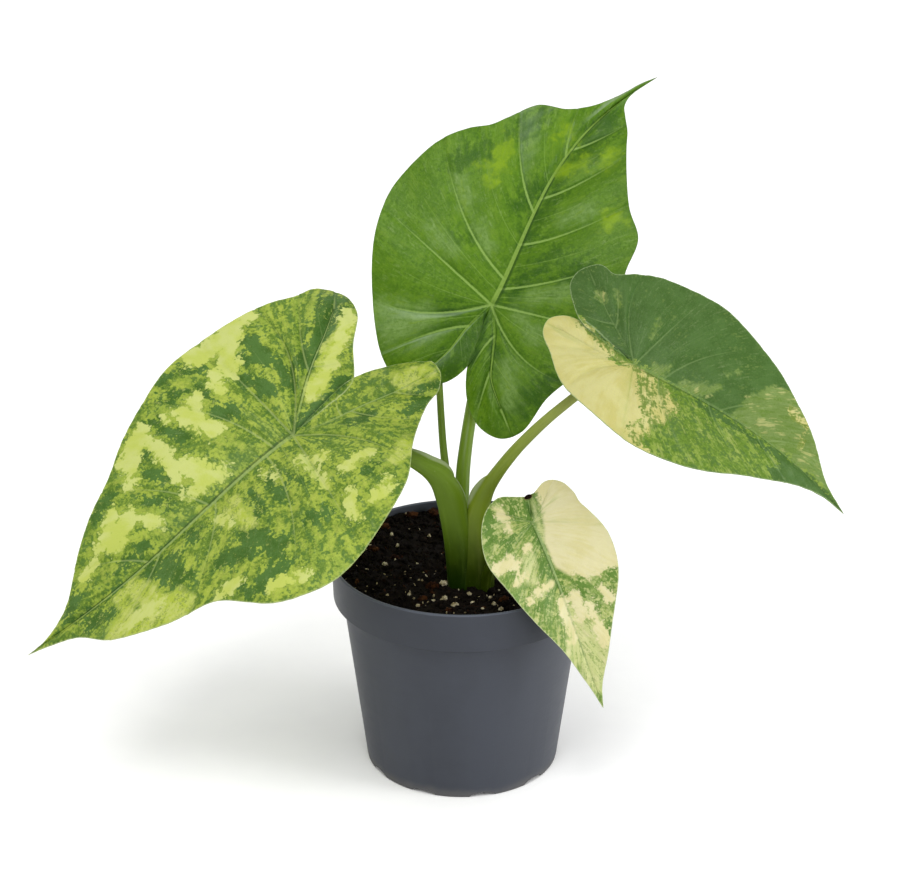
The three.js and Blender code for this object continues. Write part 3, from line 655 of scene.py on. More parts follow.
class Shader:
    """Builds one material's nodes."""

    def __init__(self, name):
        self.material = bpy.data.materials.new(name)
        self.material.use_nodes = True
        self.tree = self.material.node_tree
        self.tree.nodes.clear()

    def node(self, kind, settings=None, sockets=None, output=0):
        return Value(self, add_node(self.tree, kind, settings, sockets, output))

    def attribute(self, name):
        return self.node("ShaderNodeAttribute", {"attribute_name": name}, output="Fac")

    def vector(self, name):
        return self.node("ShaderNodeAttribute", {"attribute_name": name}, output="Vector")

    def place(self):
        return self.node("ShaderNodeTexCoord", output="Object")

    def part(self, vector, axis):
        return self.node("ShaderNodeSeparateXYZ", {}, {"Vector": vector}, axis)

    def stretch(self, vector, scale, shift=(0.0, 0.0, 0.0)):
        sockets = {"Vector": vector, "Scale": scale, "Location": shift}
        return self.node("ShaderNodeMapping", {}, sockets, "Vector")

    def noise(self, vector, scale, detail=3.0, roughness=0.55):
        """Noise about 0, mostly between -0.3 and 0.3."""
        sockets = {"Vector": vector, "Scale": scale, "Detail": detail, "Roughness": roughness}
        return self.node("ShaderNodeTexNoise", {}, sockets, "Fac") - 0.5

    def cells(self, vector, scale, feature="F1"):
        sockets = {"Vector": vector, "Scale": scale}
        return self.node("ShaderNodeTexVoronoi", {"feature": feature}, sockets, "Distance")

    def mix(self, factor, first, second, blend="MIX"):
        sockets = {
            "Factor_Float": factor,
            "A_Color": self._colour(first),
            "B_Color": self._colour(second),
        }
        settings = {"data_type": "RGBA", "blend_type": blend}
        return self.node("ShaderNodeMix", settings, sockets, "Result_Color")

    @staticmethod
    def _colour(value):
        return value if isinstance(value, Value) else (*value, 1.0)

    def bump(self, height, strength, distance):
        sockets = {"Height": height, "Strength": strength, "Distance": distance}
        return self.node("ShaderNodeBump", {}, sockets, "Normal")

    def finish(self, sockets):
        surface = self.node("ShaderNodeBsdfPrincipled", {}, sockets, "BSDF")
        output = self.tree.nodes.new("ShaderNodeOutputMaterial")
        self.tree.links.new(surface.socket, output.inputs["Surface"])
        return self.material


def srgb(code, light=1.0):
    """Paint for a display colour written as six hex digits, under the stage's light."""
    parts = [int(code[i:i + 2], 16) / 255 for i in (0, 2, 4)]
    linear = [p / 12.92 if p <= 0.04045 else ((p + 0.055) / 1.055) ** 2.4 for p in parts]
    return tuple(max(part * PAINT / light - SHINE, 0.0) for part in linear)


def scaled(colour, factor):
    """A lighter or darker shade of a colour."""
    return [part * factor for part in colour]


def catmull(points, shares, tension=None):
    """Points of a Catmull-Rom curve at these shares: centripetal, or uniform at a tension."""
    points = np.asarray(points, float)
    padded = np.vstack([2 * points[0] - points[1], points, 2 * points[-1] - points[-2]])
    spot = np.asarray(shares, float) * (len(points) - 1)
    piece = np.minimum(spot.astype(int), len(points) - 2)
    t = (spot - piece)[:, None]
    p0, p1, p2, p3 = (padded[piece + k] for k in range(4))
    if tension is None:
        pairs = ((p0, p1), (p1, p2), (p2, p3))
        gaps = [np.sum((b - a) ** 2, axis=1)[:, None] ** 0.25 for a, b in pairs]
        d0, d1, d2 = (np.maximum(gap, 1e-4) for gap in gaps)
        m1 = ((p1 - p0) / d0 - (p2 - p0) / (d0 + d1) + (p2 - p1) / d1) * d1
        m2 = ((p2 - p1) / d1 - (p3 - p1) / (d1 + d2) + (p3 - p2) / d2) * d1
    else:
        m1 = tension * (p2 - p0)
        m2 = tension * (p3 - p1)
    a = 2 * p1 - 2 * p2 + m1 + m2
    b = -3 * p1 + 3 * p2 - 2 * m1 - m2
    return ((a * t + b) * t + m1) * t + p1


def even_curve(points, count=1500):
    """A smooth curve through points as (shares of its length, places, length)."""
    places = catmull(points, np.linspace(0, 1, count))
    steps = np.hypot(*np.diff(places, axis=0).T[:2])
    shares = np.concatenate([[0], np.cumsum(steps)])
    return shares / shares[-1], places, shares[-1]


def at(curve, share):
    """Place on an even curve at a share of its length."""
    shares, places, _ = curve
    return np.array([np.interp(share, shares, places[:, k]) for k in range(places.shape[1])]).T


def nearest_share(curve, point):
    return curve[0][np.argmin(np.hypot(*(curve[1] - np.asarray(point)).T))]


def to_lines(points, starts, ends):
    """Distance of each point to each of the line pieces, and the share along the piece."""
    along = ends - starts
    length = np.maximum(np.sum(along ** 2, axis=1), TINY)
    offset = points[:, None, :] - starts[None]
    share = np.clip(np.sum(offset * along[None], axis=2) / length, 0, 1)
    away = offset - share[..., None] * along[None]
    return np.hypot(away[..., 0], away[..., 1]), share


def to_polyline(points, line):
    """Distance to a polyline and the share of its pieces passed at the nearest place."""
    distance, share = to_lines(points, line[:-1], line[1:])
    best = np.argmin(distance, axis=1)
    rows = np.arange(len(points))
    return distance[rows, best], (best + share[rows, best]) / (len(line) - 1)


def rotation(turn):
    heading, pitch, roll = (math.radians(angle) for angle in turn)
    return np.array(
        Matrix.Rotation(heading, 3, "Z")
        @ Matrix.Rotation(-pitch, 3, "Y")
        @ Matrix.Rotation(roll, 3, "X")
    )


def place_on_plant(leaf, points):
    return points @ rotation(leaf["turn"]).T + np.array(leaf["junction"], float)


def midrib_offset(leaf, x):
    return leaf["bow"] * np.sin(np.pi * np.clip(x / leaf["length"], 0, 1) ** 1.3)


def blade_height(leaf, x, y):
    """Upper face: each half rises from the midrib and falls to the margin; the lobes hang."""
    across = y - midrib_offset(leaf, x)
    height = leaf["fold"] * (np.hypot(across, 4) - 4)
    height = height - leaf["sag"] * (across / leaf["half_width"]) ** 2
    hang = leaf["lobe_drop"] * (x / leaf["half_width"]) ** 2 * np.minimum(1, np.abs(y) / 15)
    return height - np.where(x < 0, hang, 0)


def droop(leaf, x, y, z):
    """Bends the blade downward along its length as if rolled on a large drum."""
    bend = leaf["droop"]
    turn = bend * x
    reach = np.sin(turn) * (1 / bend + z)
    return np.stack([reach, y, z * np.cos(turn) - (1 - np.cos(turn)) / bend], axis=-1)


def midrib_place(leaf, x):
    return np.stack([x, midrib_offset(leaf, x)], axis=-1)


def vein_plan(leaf, side):
    """The half blade's veins as knots in margin order.

    A knot is a margin share, a branch, a station, how strong the vein is and how far its middle
    bends from a straight line, in shares of its length. The branch is "rib" for the basal rib and
    "mid" for the midrib. A station is a share of the rib or an x on the midrib, and station 0 of
    both is the junction.
    """
    half = leaf[side]
    length = leaf["length"]
    margin = even_curve([leaf["sinus"], *half["margin"], (length, 0)])
    rib = even_curve([(0, 0), *half["rib"]])

    def knot(end, branch, station, strength=1.0):
        share = end if np.isscalar(end) else nearest_share(margin, end)
        if branch == "mid":
            fade = min(1, station / 12) * min(1, (length - station) / 25)
            bend = np.array([-SIDE_SWEEP * fade, 0.0])
        else:
            step = at(rib, min(1, station + 0.02)) - at(rib, max(0, station - 0.02))
            fade = min(1, station * 4) * min(1, (1 - station) * 4)
            bend = -SIDE_SWEEP * fade * step / np.hypot(*step)
        return share, branch, float(station), strength, bend

    knots = [knot(0.0, "rib", 0, 0.0)]
    knots += [knot(end, "rib", share) for share, end in half.get("inner", [])]
    knots.append(knot(half["lobe"], "rib", 1))
    outer = sorted(half.get("outer", []), reverse=True)
    knots += [knot(end, "rib", share) for share, end in outer]
    first = knot(half["hub"][0], "rib", 0)
    knots.append((*first[:4], np.array([-HUB_SWEEP, 0.0])))
    knots += [knot(end, "mid", 0) for end in half["hub"][1:]]
    knots += [knot(end, "mid", x) for x, end in half["side"]]
    knots.append(knot(1.0, "mid", length, 0.0))
    return margin, rib, with_halves(knots)


def with_halves(knots):
    """Adds a finer vein halfway between each two knots."""
    full = []
    for first, second in zip(knots, knots[1:]):
        branch = second[1] if first[2] == 0 else first[1]
        middle = [(first[k] + second[k]) / 2 for k in (0, 2, 4)]
        full += [first, (middle[0], branch, middle[1], 0.5, middle[2])]
    return [*full, knots[-1]]


def shared_stations(plans, branch, spacing):
    """Stations of a branch that both of its sides use, so that their meshes meet there."""
    fixed = {0.0}
    for plan in plans:
        fixed |= {round(knot[2], 9) for knot in plan if knot[1] == branch}
    fixed = sorted(fixed)
    stations = [fixed[0]]
    for low, high in zip(fixed, fixed[1:]):
        count = max(1, math.ceil((high - low) / spacing))
        stations += [low + (high - low) * (k + 1) / count for k in range(count)]
    return stations


def spokes_of(knots, stations, outline_length, spacing):
    """(margin share, branch, station, bend) of every spoke of a half blade, in margin order."""
    first = knots[0]
    spokes = [(*first[:3], first[4])]
    for (t0, branch0, s0, _, bend0), (t1, branch1, s1, _, bend1) in zip(knots, knots[1:]):
        branch = branch1 if s0 == 0 else branch0
        if abs(s0 - s1) < TINY:
            count = max(1, math.ceil((t1 - t0) * outline_length / spacing))
            passed = [(k + 1) / count for k in range(count)]
            places = [s0] * count
        else:
            low, high = min(s0, s1), max(s0, s1)
            places = [s for s in stations[branch] if low - TINY <= s <= high + TINY]
            places.sort(reverse=s1 < s0)
            places = places[1:]
            passed = [(s - s0) / (s1 - s0) for s in places]
        for share, s in zip(passed, places):
            spokes.append((t0 + (t1 - t0) * share, branch, s, bend0 + (bend1 - bend0) * share))
    return spokes


def ring_shares(length):
    """Shares along a spoke: fine beside the rib and the margin, even between."""
    squeeze = min(1.0, length / 14)
    near = NEAR * squeeze
    far = length - FAR * squeeze
    middle = np.linspace(near[-1], far[0], MIDDLE_RINGS + 2)[1:-1]
    return np.concatenate([near, middle, far]) / max(length, TINY)


def spoke_line(leaf, margin, rib, spoke, shares=None):
    """A spoke from its rib to the margin, bent as the vein beside it."""
    t, branch, station, bend = spoke
    base = midrib_place(leaf, np.array(station)) if branch == "mid" else at(rib, station)
    edge = at(margin, t)
    length = float(np.hypot(*(edge - base)))
    if shares is None:
        shares = ring_shares(length)
    s = shares[:, None]
    return base * (1 - s) + edge * s + bend * length * (4 * s * (1 - s)), shares, length


def encloses(ring, points):
    """Whether each point lies inside a closed line."""
    x, y = points.T
    inside = np.zeros(len(points), bool)
    for (x0, y0), (x1, y1) in zip(ring, ring[1:]):
        if y0 != y1:
            spans = (y0 > y) != (y1 > y)
            inside ^= spans & (x < x0 + (y - y0) * (x1 - x0) / (y1 - y0))
    return inside


def patch_depth(points, patches):
    """How far each point lies inside the nearest patch, in mm, and below 0 outside."""
    depth = np.full(len(points), -float(PATCH_REACH))
    for reach, *line in patches:
        line = np.array(line, float)
        if reach > 0:
            inward = reach - to_polyline(points, line)[0]
        else:
            line = np.vstack([line, line[:1]])
            away = to_polyline(points, line)[0]
            inward = np.where(encloses(line, points), away, -away)
        depth = np.maximum(depth, inward)
    return np.minimum(depth, PATCH_REACH)


def gap_share(ends, t):
    """How far a margin share lies between the two strong veins beside it."""
    place = min(max(np.searchsorted(ends, t + TINY), 1), len(ends) - 1)
    gap = (t - ends[place - 1]) / max(ends[place] - ends[place - 1], TINY)
    return min(max(gap, 0), 1)


def blade_grid(leaf, plans):
    """A blade laid flat: points, faces, edges of the margin, and facts of each point.

    "share" is how far along its spoke a point lies and "along" how many mm, "step" is the spoke's
    margin share, "gap" its share of the gap between strong veins, and "side" is 1 or -1.
    """
    points, faces, rims, known = [], [], [], {}
    facts = {key: [] for key in ("share", "step", "side", "gap", "along")}
    mid = shared_stations([plan[2] for plan in plans.values()], "mid", SPOKE_GAP)
    for sign, side in ((1, "left"), (-1, "right")):
        margin, rib, knots = plans[side]
        rib_stations = shared_stations([knots], "rib", SPOKE_GAP / max(rib[2], 1))
        spokes = spokes_of(knots, {"mid": mid, "rib": rib_stations}, margin[2], SPOKE_GAP)
        strong = [0.0, *(knot[0] for knot in knots if knot[3] == 1.0), 1.0]
        grid = []
        for spoke in spokes:
            line, shares, length = spoke_line(leaf, margin, rib, spoke)
            gap = gap_share(strong, spoke[0])
            row = []
            for (x, y), share in zip(line, shares):
                key = (round(x * 2e3), round(y * 2e3))
                if key not in known:
                    known[key] = len(points)
                    points.append((x, y))
                    for fact, value in zip(facts, (share, spoke[0], sign, gap, share * length)):
                        facts[fact].append(value)
                row.append(known[key])
            grid.append(row)
        for first, second in zip(grid, grid[1:]):
            for k in range(len(first) - 1):
                corners = [first[k], second[k], second[k + 1], first[k + 1]]
                faces.append(corners[::sign])
            rims.append((first[-1], second[-1])[::sign])
    facts = {key: np.array(value, float) for key, value in facts.items()}
    return np.array(points), faces, rims, facts


def vein_lines(leaf, plans):
    """Lines of the veins with their rank: 0 a basal rib, 1 a side vein, 2 a finer vein."""
    veins = []
    for margin, rib, knots in plans.values():
        veins.append((rib[1][::20], 0))
        for t, branch, station, strength, bend in knots:
            if strength > 0:
                spoke = (t, branch, station, bend)
                line = spoke_line(leaf, margin, rib, spoke, np.linspace(0, 1, 24))[0]
                veins.append((line, 1 if strength == 1.0 else 2))
    return veins


def vein_distances(leaf, flat, plans):
    """Distance of each point to the ribs, side veins and finer veins, in widths of the vein."""
    rib_width, vein_width = leaf["rib_width"], leaf["vein_width"]
    far, share = to_polyline(flat, midrib_place(leaf, np.linspace(0, leaf["length"], 90)))
    ribs = far / (rib_width * (1 - 0.88 * share ** 0.8))
    main = np.full(len(flat), 9.0)
    fine = main
    for line, rank in vein_lines(leaf, plans):
        far, share = to_polyline(flat, line)
        if rank == 0:
            ribs = np.minimum(ribs, far / (rib_width * 0.62 * (1 - 0.8 * share)))
        elif rank == 1:
            main = np.minimum(main, far / (vein_width * (1 - 0.75 * share)))
        else:
            fine = np.minimum(fine, far / (vein_width * 0.4 * (1 - 0.5 * share)))
    return ribs, main, fine


def upper_face(leaf, flat, facts, veins):
    """Height of the upper face: waved margin, one lobe over the other, quilting, grooved veins."""
    x, y = flat.T
    ribs, main, fine = veins
    share, step, side = facts["share"], facts["step"], facts["side"]
    top = blade_height(leaf, x, y)
    steps = step * 30
    taper = np.minimum(1, np.minimum(steps / 4, (30 - steps) / 4))
    sway = np.sin(2 * np.pi * leaf["waves"] * step + np.where(side > 0, 0, 1.9))
    top += leaf["wave"] * share ** 3 * taper * sway
    tucked = (side == leaf["tuck"]) * np.clip(1 - step / 0.12, 0, 1)
    top -= TUCK_DEPTH * tucked * share
    bulge = np.sin(np.pi * facts["gap"]) * np.sin(np.pi * share ** 0.8)
    calm = np.clip((step - 0.05) / 0.1, 0.25, 1)
    top += leaf["quilt"] * bulge * calm * np.minimum(1, facts["along"] / 8)
    top += 0.12 * np.sin(0.9 * x + 0.4 * y) * np.sin(0.7 * y - 0.3 * x) * share
    groove = leaf["quilt"] * 0.3
    top -= groove * (np.exp(-ribs ** 2) + 0.8 * np.exp(-main ** 2) + 0.2 * np.exp(-fine ** 2))
    top += 0.3 * np.exp(-(ribs / 0.45) ** 2)
    return top


def under_face(leaf, x, top, rim, veins, looks):
    """Height of the lower face: thin at the margin, with the ribs and veins standing out."""
    ribs, main, _ = veins
    thick = looks.blade_edge / MM
    thick = thick + (looks.blade_middle - looks.blade_edge) / MM * np.clip(rim / 8, 0, 1)
    along = np.clip(x / leaf["length"], 0, 1)
    deep = np.clip(rim / 3, 0, 1)
    under = top - thick
    under -= deep * (1.6 - 1.2 * along) * np.exp(-(ribs / 1.05) ** 2)
    under -= deep * 0.5 * np.exp(-(main / 1.1) ** 2)
    return under


def sheet_faces(faces, rims, count):
    """Faces of both sides and the margin of a sheet whose lower points follow its upper ones."""
    solid = []
    for corners in faces:
        ring = list(dict.fromkeys(corners))
        if len(ring) > 2:
            solid.append(ring)
            solid.append([corner + count for corner in ring[::-1]])
    for start, end in rims:
        if start != end:
            solid.append([end, start, start + count, end + count])
    return solid


def blade_mesh(name, looks):
    """Upper and lower face of a blade, with what its skin needs to know of each point."""
    leaf = LEAVES[name]
    plans = {side: vein_plan(leaf, side) for side in ("left", "right")}
    (left_shares, left_line, _), (_, right_line, _) = plans["left"][0], plans["right"][0]
    flat, faces, rims, facts = blade_grid(leaf, plans)
    veins = vein_distances(leaf, flat, plans)
    rim = to_polyline(flat, np.vstack([left_line[::6], right_line[::-6]]))[0]
    sinus = np.vstack([left_line[:1], left_line[left_shares < 0.08]])
    x, y = flat.T
    count = len(flat)
    top = upper_face(leaf, flat, facts, veins)
    under = under_face(leaf, x, top, rim, veins, looks)
    sheet = [place_on_plant(leaf, droop(leaf, x, y, height)) for height in (top, under)]
    mesh = new_mesh(f"{name}_blade", np.vstack(sheet), sheet_faces(faces, rims, count))
    known = {
        "rib": veins[0], "vein": veins[1], "veinlet": veins[2], "rim": rim,
        # distance to the sinus, which places the painted shade of its fold
        "fold": to_polyline(flat, sinus)[0], "run": facts["share"],
        "flank": flank_light(leaf, flat, mesh),
    }
    for zone in ZONES:
        known[zone] = patch_depth(flat, PATCHES[name].get(zone, []))
    for key, values in known.items():
        set_float(mesh, key, np.tile(values, 2))
    set_float(mesh, "under", np.repeat([0, 1], count))
    across = facts["step"] * 240 * facts["side"]
    for key, first, second in (("plane", x, y), ("grain", facts["along"] * 0.45, across)):
        set_vector(mesh, key, np.tile(np.stack([first, second, 0 * x], axis=1), (2, 1)))
    return mesh


def flank_light(leaf, flat, mesh):
    """How much more each place of the relief faces the light than the plain blade does there."""
    x, y = flat.T
    step = 0.5
    sides = []
    for dx, dy in ((step, 0), (-step, 0), (0, step), (0, -step)):
        height = blade_height(leaf, x + dx, y + dy)
        sides.append(place_on_plant(leaf, droop(leaf, x + dx, y + dy, height)))
    plain = np.cross(sides[0] - sides[1], sides[2] - sides[3])
    plain /= np.linalg.norm(plain, axis=1)[:, None]
    normals = np.empty(len(mesh.vertices) * 3, np.float32)
    mesh.vertex_normals.foreach_get("vector", normals)
    return (normals.reshape(-1, 3)[:len(flat)] - plain) @ LIGHT_FROM


def new_mesh(name, points, faces, smooth=True):
    """Mesh from points in mm."""
    mesh = bpy.data.meshes.new(name)
    faces = [list(map(int, face)) for face in faces]
    mesh.from_pydata((np.asarray(points) * MM).tolist(), [], faces)
    mesh.update()
    if smooth:
        mesh.polygons.foreach_set("use_smooth", [True] * len(mesh.polygons))
    return mesh


def set_float(mesh, name, values):
    layer = mesh.attributes.new(name, "FLOAT", "POINT")
    layer.data.foreach_set("value", np.asarray(values, np.float32))


def set_vector(mesh, name, values):
    layer = mesh.attributes.new(name, "FLOAT_VECTOR", "POINT")
    layer.data.foreach_set("vector", np.asarray(values, np.float32).ravel())


def add_piece(name, mesh, material, slot, *nodes):
    """Puts a finished mesh in the scene as a piece. It stands for the CAD nodes named, if any."""
    piece = bpy.data.objects.new(name, mesh)
    bpy.context.scene.collection.objects.link(piece)
    mesh.materials.clear()
    mesh.materials.append(material)
    mesh.polygons.foreach_set("material_index", [0] * len(mesh.polygons))
    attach(piece, "root")
    if nodes:
        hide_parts(*nodes)
    return piece


def closed_rows(rows):
    """Points and faces of a closed skin from an end point, rings of equal count, an end point."""
    sides = len(rows[1])
    points = np.vstack([rows[0], *rows[1:-1], rows[-1]])
    last = len(points) - 1
    faces = []
    for row in range(len(rows) - 1):
        for side in range(sides):
            after = (side + 1) % sides
            low = 1 + (row - 1) * sides
            high = 1 + row * sides
            if row == 0:
                faces.append([0, high + after, high + side])
            elif row == len(rows) - 2:
                faces.append([low + side, low + after, last])
            else:
                faces.append([low + side, low + after, high + after, high + side])
    return points, faces


def petiole_mesh(name, petiole):
    """A petiole from the stem to a blade, with the edge of its sheath as a thin wing."""
    leaf = LEAVES[petiole["leaf"]]
    first = petiole["way"][0]
    stations = [(first[0], first[1], PETIOLE_ROOT, *first[3:]), *petiole["way"]]
    for back, below, wide, deep in petiole["attach"]:
        spot = place_on_plant(leaf, np.array([[-back, 0.0, -below]]))[0]
        stations.append((*spot, wide, deep))
    stations = np.array(stations, float)
    shares = np.linspace(0, 1, PETIOLE_RINGS)
    middle = catmull(stations[:, :3], shares)
    girth = catmull(stations[:, 3:], shares, 0.3)
    tangent = np.gradient(middle, axis=0)
    tangent /= np.linalg.norm(tangent, axis=1)[:, None]
    tangent[0] = (0, 0, 1)
    angles = np.arange(PETIOLE_SIDES) * 2 * np.pi / PETIOLE_SIDES
    wing = wing_heights(petiole.get("wing"), middle[:, 2], angles)
    rows = [middle[:1]]
    for place, along, size, proud in zip(middle, tangent, girth, wing):
        rows.append(petiole_ring(place, along, size, angles, proud))
    for height in np.sin(np.linspace(0, np.pi / 2, 7)[1:-1]):
        place = middle[-1] + tangent[-1] * girth[-1][0] * height
        size = girth[-1] * math.sqrt(1 - height ** 2)
        rows.append(petiole_ring(place, tangent[-1], size, angles, 0 * angles))
    rows.append((middle[-1] + tangent[-1] * girth[-1][0])[None])
    points, faces = closed_rows(rows)
    mesh = new_mesh(name, points, faces)
    walked = np.concatenate([[0], np.cumsum(np.linalg.norm(np.diff(middle, axis=0), axis=1))])
    dome = len(points) - 1 - PETIOLE_RINGS * PETIOLE_SIDES
    per_row = np.concatenate([[0], np.repeat(walked, PETIOLE_SIDES), np.full(dome, walked[-1])])
    turns = np.concatenate([[0], np.tile(angles, len(rows) - 2), [0]])
    set_vector(mesh, "stalk", np.stack([np.cos(turns), np.sin(turns), per_row], axis=1))
    set_float(mesh, "climb", per_row / walked[-1])
    set_float(mesh, "wing", np.concatenate([[0], wing.ravel(), np.zeros(dome)]))
    return mesh


def wing_heights(wing, heights, angles):
    """How far the sheath's edge stands proud, for each ring and side."""
    if wing is None:
        return np.zeros((len(heights), len(angles)))
    side, low, high, most = wing
    rise = np.sin(np.pi * np.clip((heights - low) / (high - low), 0, 1)) ** 0.6
    turn = (np.degrees(angles) - side + 180) % 360 - 180
    return most * np.outer(rise, np.exp(-(turn / WING_SPREAD) ** 2))


def petiole_ring(centre, along, girth, angles, proud):
    across = np.cross((0, 1, 0), along)
    across /= np.linalg.norm(across)
    deep = np.cross(along, across)
    return (
        centre
        + np.outer(np.cos(angles) * (girth[0] + proud), across)
        + np.outer(np.sin(angles) * (girth[1] + proud), deep)
    )


def rounded_profile(corners, pieces=5):
    """Radius and height pairs, with each corner (radius, height, rounding) rounded off."""
    corners = [np.array(corner, float) for corner in corners]
    line = [corners[0][:2]]
    for before, corner, after in zip(corners, corners[1:], corners[2:]):
        here, size = corner[:2], corner[2]
        if size == 0:
            line.append(here)
            continue
        back = before[:2] - here
        ahead = after[:2] - here
        start = here + back / np.hypot(*back) * size
        end = here + ahead / np.hypot(*ahead) * size
        for share in np.linspace(0, 1, pieces):
            one = start * (1 - share) + here * share
            two = here * (1 - share) + end * share
            line.append(one * (1 - share) + two * share)
    line.append(corners[-1][:2])
    return np.array(line)


def lathe_rows(profile, sides):
    """Rings of a profile turned about the pot's axis."""
    angles = np.arange(sides) * 2 * np.pi / sides
    rows = [np.array([[0, 0, profile[0][1]]])]
    for radius, height in profile[1:-1]:
        ring = np.stack([radius * np.cos(angles), radius * np.sin(angles), np.full(sides, height)])
        rows.append(ring.T)
    rows.append(np.array([[0, 0, profile[-1][1]]]))
    return rows


class Recipe:
    """Builds one Geometry Nodes tree with named inputs."""

    def __init__(self, name, inputs):
        self.tree = bpy.data.node_groups.new(name, "GeometryNodeTree")
        face = self.tree.interface
        face.new_socket("Geometry", in_out="INPUT", socket_type="NodeSocketGeometry")
        for label, kind in inputs.items():
            face.new_socket(label, in_out="INPUT", socket_type=f"NodeSocket{kind}")
        face.new_socket("Geometry", in_out="OUTPUT", socket_type="NodeSocketGeometry")
        self.inputs = self.tree.nodes.new("NodeGroupInput").outputs
        self.result = self.tree.nodes.new("NodeGroupOutput").inputs[0]

    def node(self, kind, settings=None, sockets=None, output=0):
        return add_node(self.tree, kind, settings, sockets, output)

    def maths(self, operation, *terms):
        return self.node("ShaderNodeMath", {"operation": operation}, dict(enumerate(terms)))

    def vectors(self, operation, *terms):
        return self.node("ShaderNodeVectorMath", {"operation": operation}, dict(enumerate(terms)))

    def close(self, geometry):
        """Ends the tree in Realize Instances and Set Material."""
        whole = self.node("GeometryNodeRealizeInstances", {}, {"Geometry": geometry})
        sockets = {"Geometry": whole, "Material": self.inputs["Material"]}
        painted = self.node("GeometryNodeSetMaterial", {}, sockets)
        self.tree.links.new(painted, self.result)
        return self.tree


def grown(mesh, tree, values):
    """The mesh that a tree makes of another mesh, with its inputs set by identifier."""
    holder = bpy.data.objects.new(mesh.name, mesh)
    bpy.context.scene.collection.objects.link(holder)
    modifier = holder.modifiers.new("recipe", "NODES")
    modifier.node_group = tree
    for item in tree.interface.items_tree:
        if item.in_out == "INPUT" and item.name in values:
            modifier[item.identifier] = values[item.name]
    graph = bpy.context.evaluated_depsgraph_get()
    made = bpy.data.meshes.new_from_object(holder.evaluated_get(graph))
    made.name = mesh.name
    holder.modifiers.remove(modifier)
    bpy.data.objects.remove(holder)
    return made


def notch_tree():
    """Cuts evenly spaced drain notches round the foot."""
    recipe = Recipe("Foot notches", {
        "Count": "Int", "Radius": "Float", "Width": "Float", "Height": "Float", "Depth": "Float",
        "Turn": "Float", "Material": "Material",
    })
    get = recipe.inputs
    ring = recipe.node(
        "GeometryNodeMeshCircle", {"fill_type": "NONE"},
        {"Vertices": get["Count"], "Radius": get["Radius"]},
    )
    turned = recipe.node("ShaderNodeCombineXYZ", {}, {"Z": get["Turn"]})
    ring = recipe.node("GeometryNodeTransform", {}, {"Geometry": ring, "Rotation": turned})
    round_bar = recipe.node("GeometryNodeMeshCylinder", {}, {
        "Vertices": 32, "Radius": 1.0, "Depth": 2.0,
    }, "Mesh")
    size = recipe.node("ShaderNodeCombineXYZ", {}, {
        "X": get["Height"], "Y": recipe.maths("DIVIDE", get["Width"], 2.0), "Z": get["Depth"],
    })
    flattened = recipe.node("GeometryNodeTransform", {}, {"Geometry": round_bar, "Scale": size})
    block = recipe.node("GeometryNodeTransform", {}, {
        "Geometry": flattened, "Rotation": (0.0, math.pi / 2, 0.0),
    })
    place = recipe.node("GeometryNodeInputPosition")
    turn = recipe.node("FunctionNodeAlignRotationToVector", {"axis": "X"}, {"Vector": place})
    blocks = recipe.node("GeometryNodeInstanceOnPoints", {}, {
        "Points": ring, "Instance": block, "Rotation": turn,
    })
    blocks = recipe.node("GeometryNodeRealizeInstances", {}, {"Geometry": blocks})
    cut = recipe.node("GeometryNodeMeshBoolean", {"operation": "DIFFERENCE", "solver": "EXACT"}, {
        "Mesh 1": get["Geometry"], "Mesh 2": blocks,
    }, "Mesh")
    angle = recipe.node("GeometryNodeInputMeshEdgeAngle", {}, {}, "Unsigned Angle")
    sharp = recipe.node(
        "FunctionNodeCompare", {"operation": "GREATER_THAN"}, {0: angle, 1: math.radians(32)}
    )
    soft = recipe.node("GeometryNodeSetShadeSmooth", {"domain": "FACE"}, {
        "Geometry": cut, "Shade Smooth": True,
    })
    soft = recipe.node("GeometryNodeSetShadeSmooth", {"domain": "EDGE"}, {
        "Geometry": soft, "Selection": sharp, "Shade Smooth": False,
    })
    return recipe.close(soft)


